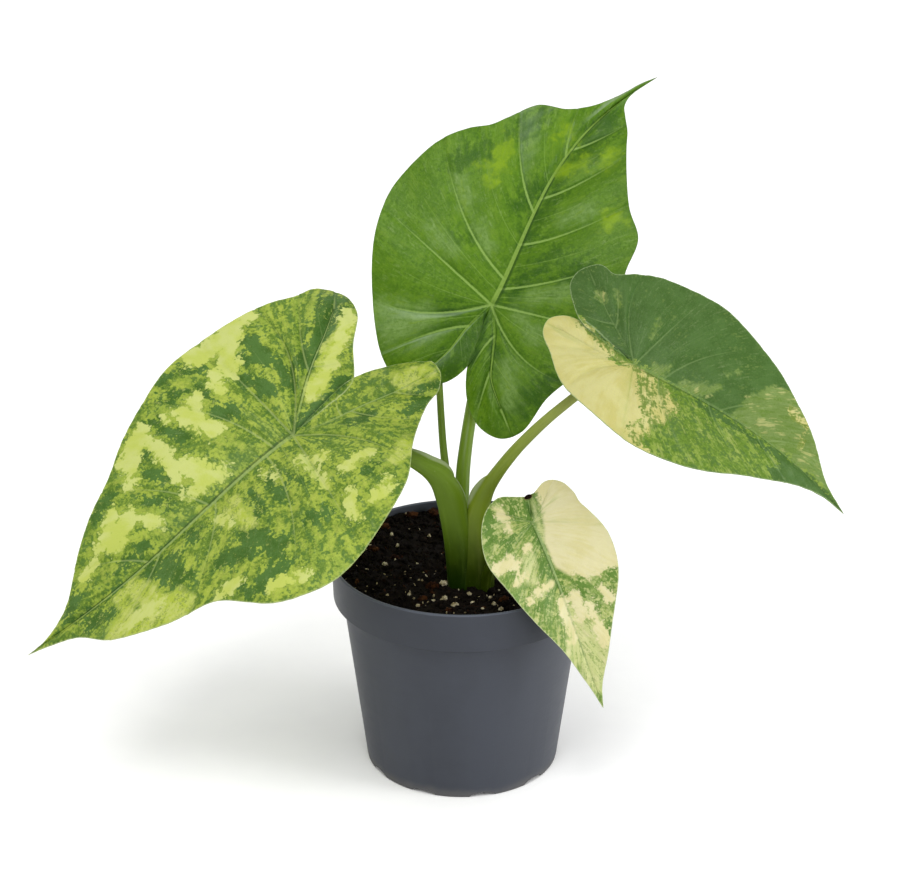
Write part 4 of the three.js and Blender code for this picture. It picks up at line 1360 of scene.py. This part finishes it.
def scatter_tree():
    """Scatters irregular grains over a surface."""
    recipe = Recipe("Grain scatter", {
        "Density": "Float", "Seed": "Int", "Smallest": "Vector", "Largest": "Vector",
        "Lumps": "Float", "Lump scale": "Float", "Lift": "Float", "Material": "Material",
    })
    get = recipe.inputs
    points = recipe.node("GeometryNodeDistributePointsOnFaces", {}, {
        "Mesh": get["Geometry"], "Density": get["Density"], "Seed": get["Seed"],
    }, "Points")
    grain = recipe.node("GeometryNodeMeshIcoSphere", {}, {
        "Radius": 1.0, "Subdivisions": 2,
    }, "Mesh")
    turn = recipe.node("FunctionNodeRandomValue", {"data_type": "FLOAT_VECTOR"}, {
        "Max": (6.28, 6.28, 6.28), "Seed": get["Seed"],
    }, "Value")
    next_seed = recipe.maths("ADD", get["Seed"], 7.0)
    share = recipe.node("FunctionNodeRandomValue", {"data_type": "FLOAT_VECTOR"}, {
        "Min": (0.0, 0.0, 0.0), "Max": (1.0, 1.0, 1.0), "Seed": next_seed,
    }, "Value")
    share = recipe.vectors("MULTIPLY", share, share)
    span = recipe.vectors("SUBTRACT", get["Largest"], get["Smallest"])
    size = recipe.vectors("MULTIPLY_ADD", span, share, get["Smallest"])
    lift = recipe.node("ShaderNodeCombineXYZ", {}, {"Z": get["Lift"]})
    points = recipe.node("GeometryNodeSetPosition", {}, {"Geometry": points, "Offset": lift})
    grains = recipe.node("GeometryNodeInstanceOnPoints", {}, {
        "Points": points, "Instance": grain, "Rotation": turn, "Scale": size,
    })
    grains = recipe.node("GeometryNodeRealizeInstances", {}, {"Geometry": grains})
    noise = recipe.node("ShaderNodeTexNoise", {}, {
        "Scale": get["Lump scale"], "Detail": 1.0,
    }, "Color")
    shift = recipe.vectors("SUBTRACT", noise, (0.5, 0.5, 0.5))
    shift = recipe.node("ShaderNodeVectorMath", {"operation": "SCALE"}, {
        0: shift, "Scale": get["Lumps"],
    })
    grains = recipe.node("GeometryNodeSetPosition", {}, {"Geometry": grains, "Offset": shift})
    grains = recipe.node("GeometryNodeSetShadeSmooth", {}, {"Geometry": grains})
    return recipe.close(grains)


def painted(tones):
    """The tones with every display colour turned into paint."""
    light = tones["light"]
    paints = {}
    for key, value in tones.items():
        if isinstance(value, str):
            paints[key] = srgb(value, light)
        elif isinstance(value, tuple) and isinstance(value[0], str):
            paints[key] = [srgb(code, light) for code in value]
        else:
            paints[key] = value
    return paints


class BladeSkin(Shader):
    """Variegated blade: marbled green, painted patches, pale veins and a thin pale margin."""

    def __init__(self, name):
        super().__init__(f"{name}_skin")
        tones = self.tones = painted(TONES[name])
        plane = self.plane = self.vector("plane")
        grain = self.grain = self.vector("grain")
        self.broad = self.noise(plane, 0.055, 2.0)
        self.cloud = self.noise(plane, 0.15, 3.0, 0.5)
        self.drift = self.noise(self.stretch(grain, (1, 1, 1), (70, 30, 9)), 0.3, 3.0, 0.5)
        self.islet = self.noise(self.stretch(plane, (1, 1, 1), (-40, 8, 3)), 0.33, 3.0, 0.5)
        self.fleck = self.noise(plane, 0.7, 2.0, 0.5)
        self.granule = self.noise(self.stretch(plane, (1, 1, 1), (13, 47, 5)), 1.5, 1.0, 0.5)
        self.streak = self.noise(grain, 0.22, 4.0, 0.55)
        self.brush = self.noise(self.stretch(grain, (0.5, 1, 1), (5, 9, 2)), 0.8, 3.0, 0.5)
        self.fine = self.granule * tones["grit"] + self.brush * tones["brush"]
        shade = (self.fleck + self.streak + self.granule).ramp(-0.25, 0.25)
        self.green = self.mix(shade, *tones["green"])
        self.find_zones()

    def find_zones(self):
        """How fully each place belongs to each zone, with ragged edges."""
        ragged, feather = self.tones["ragged"], self.tones["feather"]
        cloud, islet, streak, fleck = self.cloud, self.islet, self.streak, self.fleck
        wander = (cloud * 11 + islet * 7 + streak * 3) * ragged + fleck * 6 + self.granule * 2
        torn = (self.drift * 9 + islet * 8 - streak * 4) * ragged + fleck * 7 + self.granule * 2
        if "calm" in self.tones:
            across = self.part(self.plane, 1)
            beyond = self.part(self.plane, 0).ramp(24, 36)
            away = (across * across).ramp(2, self.tones["calm"]) + beyond
            wander = wander * away.clamp()
        self.pale = self.zone("pale", wander, feather)
        self.soft = self.zone("soft", wander * 0.7, feather + 0.5)
        self.deep = self.zone("deep", torn, feather)
        self.laced = self.zone("laced", wander, feather)
        self.quiet = 1 - self.pale * 0.6

    def zone(self, name, wander, feather):
        return (self.attribute(name) + wander).ramp(-feather, feather)

    def marbled(self):
        """Green marbling on a paler ground, with darker islands and bright flecks."""
        tones, cloud, drift, fleck = self.tones, self.cloud, self.drift, self.fleck
        contrast, edge, marbling = tones["contrast"], tones["edge"], tones["marbling"]
        shade = (self.broad * 2 + self.streak + fleck).ramp(-0.25, 0.25)
        ground = self.mix(shade, *tones["ground"])
        haze = cloud + drift * 0.8 + fleck * 0.9 + self.fine + marbling
        colour = self.mix(haze.ramp(-0.3, 0.3) * contrast, ground, self.green)
        patch = cloud * 0.9 + drift * 1.2 + self.islet * 0.8 + fleck * 0.8 + marbling
        colour = self.mix(patch.ramp(-edge, edge) * (contrast * 0.75), colour, self.green)
        island = self.islet * 1.4 + drift * 0.9 + fleck * 0.9 - cloud * 0.6 + marbling
        island = island.ramp(0.09, 0.09 + edge * 1.5)
        colour = self.mix(island * (contrast * 0.7), colour, tones["deep"][0])
        bright = (self.fine + fleck * 0.6 - patch * 0.6).ramp(0.1, 0.3)
        return self.mix(bright * tones["flecks"], colour, tones["spark"])

    def zoned(self, colour):
        """The full green, the washed-out green, the cream and the lace over the marbling."""
        tones, contrast = self.tones, self.tones["contrast"]
        cloud, drift, fleck, fine = self.cloud, self.drift, self.fleck, self.fine
        full = self.mix((cloud + self.broad + self.granule * 0.6).ramp(-0.2, 0.2), *tones["deep"])
        lit = (fleck - drift * 0.8 + fine).ramp(0.08, 0.36)
        lit = lit * (self.islet + self.broad).ramp(-0.12, 0.2)
        full = self.mix(lit * (contrast * 0.7), full, tones["soft"][1])
        colour = self.mix(self.deep, colour, full)
        washed = self.mix((cloud + fleck + self.streak).ramp(-0.25, 0.25), *tones["soft"])
        tinge = (drift * 1.3 + fleck + fine).ramp(0.0, 0.3)
        washed = self.mix(tinge * (contrast * 0.6), washed, self.green)
        milky = (cloud + self.brush * tones["brush"] - drift).ramp(0.12, 0.4)
        washed = self.mix(milky * (contrast * 0.6), washed, tones["pale"][0])
        colour = self.mix(self.soft, colour, washed)
        cream = self.mix((self.broad * 2 + self.streak * 1.5).ramp(-0.3, 0.3), *tones["pale"])
        colour = self.mix(self.pale, colour, cream)
        lace = (fleck * 0.8 + self.islet * 1.4 + drift * 1.2 + self.brush * 0.7).ramp(-0.2, 0.16)
        return self.mix(self.laced, colour, self.mix(lace * contrast, cream, self.green))

    def sheened(self, colour):
        """Painted sheen on slopes facing the light, painted shade on the others, and fine strokes.
        """
        # Painted sheen in the colour B2C8A6 on the slopes that face the light, and painted shade
        # multiplied in on the slopes that turn away.
        flank = self.attribute("flank") + self.streak * 0.04
        shine = flank.ramp(0.05, 0.36) * (self.brush * 1.8 + 0.95).clamp() * self.tones["painted_sheen"]
        colour = self.mix(shine * self.quiet, colour, srgb("B2C8A6"))
        colour = self.mix(flank.ramp(-0.01, -0.3) * 0.55, colour, (0.5, 0.66, 0.42), "MULTIPLY")
        stroke = self.brush * (1 - self.pale * 0.7) + self.granule * 0.3
        colour = self.mix(stroke.ramp(0.02, 0.3) * 0.5, colour, (0.66, 0.74, 0.5), "MULTIPLY")
        return self.mix(stroke.ramp(-0.05, -0.3) * 0.12, colour, srgb("BCCB92"))

    def veined(self, colour):
        """Pale veins with painted shade in their grooves, and ribs with painted shade on one side.
        """
        tones, veins, quiet = self.tones, self.tones["veins"], self.quiet
        run = self.attribute("run").ramp(1.05, 0.3) * quiet
        veinlet = self.attribute("veinlet").ramp(1.1, 0.2)
        colour = self.mix(veinlet * run * (veins * 0.35), colour, tones["vein"])
        beside = self.attribute("vein") + self.fleck * 0.5
        # Painted shade in the grooves on both sides of each vein.
        groove_shade = beside.ramp(0.7, 1.2) * beside.ramp(2.8, 1.6) * run
        colour = self.mix(groove_shade * (veins * 0.5), colour, (0.55, 0.7, 0.45), "MULTIPLY")
        colour = self.mix(beside.ramp(1.0, 0.3) * run * veins, colour, tones["vein"])
        rib = self.attribute("rib")
        strong = self.attribute("rim").ramp(0.5, 11) * quiet * tones["ribs"]
        colour = self.mix(rib.ramp(1.15, 0.6) * strong, colour, tones["rib"])
        # Painted shade in the crease on one side of the rib.
        rib_shade = rib.ramp(0.7, 1.05) * rib.ramp(2.4, 1.5) * self.part(self.grain, 1).ramp(4, -4)
        return self.mix(rib_shade * strong * quiet, colour, tones["shade"])

    def edged(self, colour):
        """Pale margin, painted shade in the fold at the sinus and a brown ring about a scar."""
        rim = (self.attribute("rim") + self.fleck).ramp(0.5, 0.1)
        colour = self.mix(rim * 0.6, colour, self.tones["rim"])
        # Painted shade in the fold at the sinus.
        fold = (self.attribute("fold") + self.fleck * 2).ramp(2.4, 0.3)
        colour = self.mix(fold * 0.9, colour, (0.4, 0.55, 0.3), "MULTIPLY")
        if "scar" not in self.tones:
            return colour
        x, y, high, wide = self.tones["scar"]
        spot = self.stretch(self.plane, (1 / high, 1 / wide, 1), (-x / high, -y / wide, 0))
        away = self.node("ShaderNodeVectorMath", {"operation": "LENGTH"}, {0: spot}, "Value")
        return self.mix((away + self.fleck).ramp(1.6, 1.1) * 0.7, colour, srgb("6E6A38"))

    def made(self, looks):
        """The finished material, duller on the lower face."""
        colour = self.edged(self.veined(self.sheened(self.zoned(self.marbled()))))
        under = self.attribute("under")
        colour = self.mix(under, colour, self.mix(0.45, colour, self.tones["soft"][0]))
        vein_net = self.cells(self.plane, 0.8, "DISTANCE_TO_EDGE").ramp(0.0, 0.15)
        relief = vein_net * 0.12 + self.fleck * 1.2 + self.streak * 2 + self.granule * 0.5
        rough = under * 0.2 + self.granule * 0.12 + self.fleck * 0.2 + looks.gloss
        return self.finish({
            "Base Color": colour,
            "Roughness": rough.clamp(),
            "Normal": self.bump(relief, 0.4, 0.0003),
            "Specular IOR Level": 0.14,
            "Subsurface Weight": 0.05,
            "Subsurface Radius": (0.0012, 0.0016, 0.0004),
        })


def stalk_skin(name, foot, low, high, looks, wrapped=True):
    """Petiole or stem: dark at the soil, light at the top, with faint lengthwise lines."""
    shader = Shader(f"{name}_skin")
    place = shader.place()
    height = shader.part(place, 2) * 1000
    if wrapped:
        stalk, climb, wing = (
            shader.vector("stalk"), shader.attribute("climb"), shader.attribute("wing")
        )
    else:
        stalk, climb, wing = shader.stretch(place, (160, 160, 1000)), height * 0.002, height * 0
    lines = shader.noise(shader.stretch(stalk, (2.6, 2.6, 0.03)), 1.0, 4.0, 0.6)
    cloud = shader.noise(shader.stretch(stalk, (1.1, 1.1, 0.09)), 1.0, 3.0)
    freckle = shader.noise(shader.stretch(stalk, (7.0, 7.0, 0.9)), 1.0, 3.0)
    rise = (height + cloud * 14).ramp(96, 136)
    colour = shader.mix(rise, srgb(foot), srgb(low))
    colour = shader.mix((climb + cloud * 0.3).ramp(0.3, 1.0), colour, srgb(high))
    colour = shader.mix(lines.ramp(0.0, 0.3) * 0.22, colour, srgb(high))
    colour = shader.mix(lines.ramp(-0.04, -0.3) * 0.2, colour, srgb(foot))
    colour = shader.mix(freckle.ramp(0.14, 0.26) * 0.1, colour, srgb("D6DDAE"))
    colour = shader.mix(wing.ramp(0.2, 1.1) * 0.75, colour, srgb("A0AE82"))
    return shader.finish({
        "Base Color": colour,
        "Roughness": (lines * 0.3 + looks.gloss - 0.02).clamp(),
        "Normal": shader.bump(lines + freckle * 0.3, 0.2, 0.0003),
        "Specular IOR Level": 0.16,
        "Subsurface Weight": 0.1,
        "Subsurface Radius": (0.0015, 0.002, 0.0005),
    })


def pot_skin(colour, band, lip):
    """Matt plastic, flow marks, scuffs, dusty foot; painted shade at the band, painted lip
    highlight.
    """
    shader = Shader("pot_plastic_skin")
    place = shader.place()
    flow = shader.noise(shader.stretch(place, (14, 14, 4)), 1.0, 3.0, 0.6)
    mottle = shader.noise(place, 60.0, 4.0, 0.6)
    grain = shader.noise(place, 1600.0, 2.0)
    scuff = shader.noise(shader.stretch(place, (90, 90, 900)), 1.0, 4.0, 0.7)
    height = shader.part(place, 2) * 1000
    base = shader.mix((flow * 1.5 + mottle).ramp(-0.25, 0.25), colour, scaled(colour, 1.16))
    light = scaled(colour, 1.7)
    base = shader.mix(scuff.ramp(0.14, 0.3) * 0.22, base, light)
    # Painted shade: the rim band is painted darker than the body below it.
    base = shader.mix(height.ramp(band, band + 0.6) * 0.3, base, scaled(colour, 0.6))
    # Painted shadow on the wall just under the ledge of the rim band.
    band_shadow = height.ramp(band - 2.4, band - 0.1) * height.ramp(band + 0.6, band + 0.2)
    base = shader.mix(band_shadow * 0.85, base, scaled(colour, 0.3))
    # Painted highlight: a lighter line along the top of the lip.
    lip_highlight = (height + mottle * 0.8).ramp(lip - 0.9, lip - 0.3)
    base = shader.mix(lip_highlight * 0.8, base, scaled(colour, 2.2))
    dusty = (height + mottle * 9).ramp(6, 0) * 0.3
    base = shader.mix(dusty, base, srgb("8A867E"))
    specks = shader.cells(place, 260.0).ramp(0.09, 0.03) * mottle.ramp(0.02, 0.12)
    base = shader.mix(specks * 0.4, base, light)
    return shader.finish({
        "Base Color": base,
        "Roughness": (mottle * 0.16 + scuff * 0.12 + dusty * 0.4 + 0.47).clamp(),
        "Normal": shader.bump(grain * 0.5 + mottle + scuff * 0.4, 0.22, 0.0002),
        "Specular IOR Level": 0.22,
    })


def grain_skin(name, dark, light, spot, roughness, fine):
    """Crumbly matter: two shades in clouds, spots of a third and a pitted surface."""
    shader = Shader(name)
    place = shader.place()
    cloud = shader.noise(place, 260.0, 4.0, 0.6)
    pits = shader.noise(place, fine, 4.0, 0.65)
    fibre = shader.noise(shader.stretch(place, (300, 1300, 500)), 1.0, 3.0)
    colour = shader.mix((cloud * 1.2 + pits * 0.7).ramp(-0.2, 0.22), dark, light)
    colour = shader.mix((fibre + cloud * 0.5).ramp(0.12, 0.24) * 0.7, colour, spot)
    colour = shader.mix(pits.ramp(-0.06, -0.25) * 0.6, colour, dark)
    return shader.finish({
        "Base Color": colour,
        "Roughness": (pits * 0.3 + roughness).clamp(),
        "Normal": shader.bump(pits + fibre * 0.5, 0.8, 0.0005),
        "Specular IOR Level": 0.06,
    })


def floor_paint():
    """Plain pale studio floor with a barely seen grain."""
    shader = Shader("floor_paint")
    place = shader.place()
    grain = shader.noise(place, 30.0, 4.0)
    colour = shader.mix(grain.ramp(-0.3, 0.3), (0.92, 0.92, 0.92), (0.95, 0.95, 0.945))
    return shader.finish({
        "Base Color": colour,
        "Roughness": (grain * 0.1 + 0.85).clamp(),
        "Specular IOR Level": 0.1,
    })


class TARO_OT_pot(bpy.types.Operator):
    """Build the nursery pot with its rim band and drain notches"""

    bl_idname = "taro.pot"
    bl_label = "Nursery pot"

    def execute(self, context):
        pot = context.scene.taro_pot
        height, rim, foot = pot.height / MM, pot.rim_radius / MM, pot.foot_radius / MM
        shoulder, wall, band = pot.shoulder_radius / MM, pot.wall / MM, pot.band_height / MM
        low = height - band
        corners = [
            (0, 0, 0), (foot, 0, 0.9), (shoulder, low, 0.4), (rim - BAND_TAPER, low, 0.7),
            (rim, height, 0.7), (rim - wall, height, 0.6),
            (rim - BAND_TAPER - wall, low + wall, 1.2), (shoulder - wall, low + wall, 0.8),
            (foot - wall, wall, 1.2), (0, wall, 0),
        ]
        points, faces = closed_rows(lathe_rows(rounded_profile(corners), POT_SIDES))
        shell = new_mesh("pot_shell", points, faces)
        material = pot_skin(tuple(pot.colour), low, height)
        shell = grown(shell, notch_tree(), {
            "Count": 10, "Radius": pot.foot_radius, "Width": 0.012, "Height": 0.0023,
            "Depth": 0.007, "Turn": math.radians(-6), "Material": material,
        })
        add_piece("pot_shell", shell, material, "pot_plastic", "pot")
        return {"FINISHED"}


def bed_height(x, y, level):
    """Soil top with small lumps, a dip at the plant and a low heap against the wall at the back."""
    rough = np.sin(0.21 * x + 1.3) * np.cos(0.26 * y) + 0.6 * np.sin(0.43 * y - 0.37 * x)
    to_plant = np.hypot(x - PLANT[0], y - PLANT[1])
    ground = level + 0.9 * rough - 2.2 * np.exp(-((to_plant / 26) ** 2))
    lumps = 0.4 * np.sin(0.8 * x + 0.5 * y) * np.sin(0.65 * y - 0.4 * x + 1)
    lumps += 0.25 * np.sin(2.1 * x - 1.5 * y + 2) * np.sin(1.7 * y + 1.2 * x)
    out = np.clip((np.hypot(x, y) - 26) / 28, 0, 1)
    heap = 2.6 * out * out * (3 - 2 * out) * np.clip(0.35 + y / 60, 0, 1)
    return ground + lumps + heap - 0.3


def soil_skin(pot, level):
    """Points and faces of the soil that fills the pot, and the faces of its lumpy top."""
    skin = pot.wall / MM + SOIL_GAP
    foot, shoulder = pot.foot_radius / MM, pot.shoulder_radius / MM
    ledge = (pot.height - pot.band_height) / MM + skin
    edge = pot.rim_radius / MM - BAND_TAPER - skin
    angles = np.arange(BED_SIDES) * 2 * np.pi / BED_SIDES
    profile = [(0, skin), (foot - skin, skin), (shoulder - skin, ledge), (edge, ledge)]
    rows = lathe_rows(np.array([*profile, (0, 0)]), BED_SIDES)[:-1]
    for radius in edge * (1 - np.linspace(0, 1, BED_RINGS + 1)[:-1]):
        x, y = radius * np.cos(angles), radius * np.sin(angles)
        rows.append(np.stack([x, y, bed_height(x, y, level)], axis=1))
    rows.append(np.array([[0, 0, bed_height(np.zeros(1), np.zeros(1), level)[0]]]))
    points, faces = closed_rows(rows)
    top = [face for face in faces if min(face) > BED_SIDES * (len(profile) - 1)]
    return points, faces, top


def round_ball():
    """Corners and faces of a ball of radius 1."""
    seed = bmesh.new()
    bmesh.ops.create_icosphere(seed, subdivisions=3, radius=1)
    ball = np.array([vertex.co for vertex in seed.verts])
    shell = [[vertex.index for vertex in face.verts] for face in seed.faces]
    seed.free()
    return ball, shell


def lump_mesh(name, lumps, level):
    """Knobbly grains half sunk in the soil."""
    points, faces = [], []
    ball, shell = round_ball()
    for index, (x, y, long, high) in enumerate(lumps):
        phase = index * 1.7
        knobs = 0.16 * np.sin(ball @ (3.1, 1.7, 2.3) * 2 + phase)
        knobs += 0.13 * np.sin(ball @ (-2.2, 4.1, 3.3) * 1.6 + 2 * phase)
        knobs += 0.08 * np.sin(ball @ (6.1, -5.2, 7.4) + 3 * phase)
        grain = ball * (1 + knobs)[:, None] * (long, long * 0.75, high)
        grain = grain @ np.array(Matrix.Rotation(phase, 3, "Z")).T
        ground = bed_height(np.array(x), np.array(y), level) + high * 0.45
        faces += [[corner + len(points) for corner in face] for face in shell]
        points += list(grain + (x, y, ground))
    return new_mesh(name, points, faces)


def scar_mesh(name, leaf, scar):
    """A small corky disc on a blade, at the x, y, half height and half width of the scar."""
    x, y, high, wide = scar
    ball, shell = round_ball()
    middle = np.array([x, y, float(blade_height(leaf, np.array(x), np.array(y)))])
    points = droop(leaf, *(middle + ball * (high, wide, SCAR_HALF_THICKNESS)).T)
    return new_mesh(name, place_on_plant(leaf, points), shell)


class TARO_OT_mix(bpy.types.Operator):
    """Build the potting mix with its peat crumbs, perlite and bark chips"""

    bl_idname = "taro.mix"
    bl_label = "Potting mix"

    def execute(self, context):
        mix = context.scene.taro_mix
        level = round(mix.level / MM, 3)
        points, faces, top = soil_skin(context.scene.taro_pot, level)
        front = [face for face in top if points[face[0]][1] < 4]
        peat = tuple(mix.peat)
        brown = srgb("3A2416")
        material = grain_skin("peat_skin", peat, scaled(peat, 2.2), brown, 0.92, 2400.0)
        bed = new_mesh("peat_bed", points, faces)
        add_piece("peat_bed", bed, material, "potting_mix", "soil")
        tree = scatter_tree()
        shades = {
            "peat": (scaled(peat, 0.7), scaled(peat, 2.6), brown, 0.95, 2600.0),
            "perlite": (srgb("8E7E5A"), srgb("EAE0C0"), srgb("5E4A2E"), 0.85, 1500.0),
            "dust": (srgb("5E5038"), srgb("CDBE96"), srgb("42341E"), 0.9, 1800.0),
            "bark": (srgb("1C120A"), srgb("4E3220"), srgb("7A6040"), 0.9, 1400.0),
        }
        for name, kind, area, density, small, large, lumps, seed in (
            ("peat_crumbs", "peat", top, mix.crumbs, 0.0005, 0.0015, 0.0010, 3),
            ("peat_clods", "peat", top, mix.clods, 0.0012, 0.0026, 0.0022, 17),
            ("perlite_grains", "perlite", top, mix.grit, 0.0004, 0.0013, 0.0007, 11),
            ("perlite_dust", "dust", front, mix.dust, 0.0003, 0.0010, 0.0007, 29),
            ("bark_chips", "bark", top, mix.chips, 0.0006, 0.0024, 0.0012, 5),
        ):
            surface = new_mesh(name, points, area)
            flat = 0.5 if kind == "bark" else 0.85
            material = grain_skin(f"{name}_skin", *shades[kind])
            grains = grown(surface, tree, {
                "Density": density, "Seed": seed, "Smallest": (small, small * 0.8, small * flat),
                "Largest": (large, large * 0.8, large * flat), "Lumps": lumps,
                "Lump scale": 600.0, "Lift": 0.0001, "Material": material,
            })
            add_piece(name, grains, material, "potting_mix")
        for name, lumps in LUMPS.items():
            material = grain_skin(f"{name}_skin", *shades[name.split("_")[0]])
            add_piece(name, lump_mesh(name, lumps, level), material, "potting_mix")
        return {"FINISHED"}


class TARO_OT_blades(bpy.types.Operator):
    """Build the five leaf blades"""

    bl_idname = "taro.blades"
    bl_label = "Blades"

    def execute(self, context):
        looks = context.scene.taro_looks
        for name, leaf in LEAVES.items():
            mesh = blade_mesh(name, looks)
            add_piece(mesh.name, mesh, BladeSkin(name).made(looks), leaf["slot"], name)
        leaf = LEAVES["leaf_4"]
        scar = scar_mesh("leaf_4_scar", leaf, TONES["leaf_4"]["scar"])
        dark, brown = srgb("120A06"), srgb("3A2614")
        material = grain_skin("scar_skin", dark, brown, brown, 0.8, 900.0)
        add_piece(scar.name, scar, material, leaf["slot"])
        return {"FINISHED"}


class TARO_OT_petioles(bpy.types.Operator):
    """Build the five petioles"""

    bl_idname = "taro.petioles"
    bl_label = "Petioles"

    def execute(self, context):
        looks = context.scene.taro_looks
        for name, petiole in PETIOLES.items():
            mesh = petiole_mesh(f"{name}_stalk", petiole)
            material = stalk_skin(name, *petiole["tones"], looks)
            add_piece(mesh.name, mesh, material, "stalk", name)
        stem = bpy.data.objects["stem"]
        material = stalk_skin("stem", "1E2C08", "48601A", "5A7424", looks, False)
        stem.data.materials.clear()
        stem.data.materials.append(material)
        return {"FINISHED"}


class TARO_OT_stage(bpy.types.Operator):
    """Build the floor, lights and camera"""

    bl_idname = "taro.stage"
    bl_label = "Stage"

    def execute(self, context):
        scene = context.scene
        points = [(x * FLOOR_REACH, y * FLOOR_REACH, 0) for x, y in FLOOR_CORNERS]
        floor = bpy.data.objects.new("floor", new_mesh("floor", points, [(0, 1, 2, 3)], False))
        scene.collection.objects.link(floor)
        floor.data.materials.append(floor_paint())
        world = bpy.data.worlds.new("studio")
        scene.world = world
        world.use_nodes = True
        backdrop = world.node_tree.nodes["Background"].inputs
        backdrop["Color"].default_value = (1, 1, 1, 1)
        backdrop["Strength"].default_value = 1.05
        for name, place, aim, size, power in (
            ("key", (-0.2, -1.2, 2.1), (0, 0, 0.12), 0.9, 22),
            ("fill", (1.9, -0.6, 0.6), (0, 0, 0.06), 0.8, 24),
        ):
            light = bpy.data.lights.new(name, "AREA")
            light.size = size
            light.energy = power
            lamp = bpy.data.objects.new(name, light)
            scene.collection.objects.link(lamp)
            back = np.array(place) - np.array(aim)
            lamp.location = place
            lamp.rotation_euler = Vector(back).to_track_quat("Z", "Y").to_euler()
        camera = bpy.data.cameras.new("camera")
        camera.sensor_width = SENSOR_WIDTH
        camera.lens = SENSOR_WIDTH * FOCAL_PIXELS / PICTURE_WIDTH
        view = bpy.data.objects.new("camera", camera)
        scene.collection.objects.link(view)
        view.location = CAMERA_PLACE
        view.rotation_euler = (math.radians(90 - CAMERA_PITCH), 0, 0)
        scene.camera = view
        scene.view_settings.view_transform = "Standard"
        return {"FINISHED"}


OPERATORS = (TARO_OT_pot, TARO_OT_mix, TARO_OT_petioles, TARO_OT_blades, TARO_OT_stage)


class TARO_PT_plant(bpy.types.Panel):
    """Sizes of the plant and the operators that build it"""

    bl_idname = "TARO_PT_plant"
    bl_label = "Potted variegated taro"
    bl_space_type = "VIEW_3D"
    bl_region_type = "UI"
    bl_category = "Taro"

    def draw(self, context):
        scene = context.scene
        for sizes in (scene.taro_pot, scene.taro_mix, scene.taro_looks):
            box = self.layout.box()
            for key in type(sizes).__annotations__:
                box.prop(sizes, key)
        for operator in OPERATORS:
            self.layout.operator(operator.bl_idname)


CLASSES = (PotSizes, MixSizes, PlantLooks, *OPERATORS, TARO_PT_plant)


def register():
    for kind in CLASSES:
        bpy.utils.register_class(kind)
    bpy.types.Scene.taro_pot = bpy.props.PointerProperty(type=PotSizes)
    bpy.types.Scene.taro_mix = bpy.props.PointerProperty(type=MixSizes)
    bpy.types.Scene.taro_looks = bpy.props.PointerProperty(type=PlantLooks)


def unregister():
    del bpy.types.Scene.taro_looks
    del bpy.types.Scene.taro_mix
    del bpy.types.Scene.taro_pot
    for kind in reversed(CLASSES):
        bpy.utils.unregister_class(kind)


def main():
    register()
    bpy.ops.taro.pot()
    bpy.ops.taro.mix()
    bpy.ops.taro.petioles()
    bpy.ops.taro.blades()
    bpy.ops.taro.stage()
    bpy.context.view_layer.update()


if __name__ == "__main__":
    main()
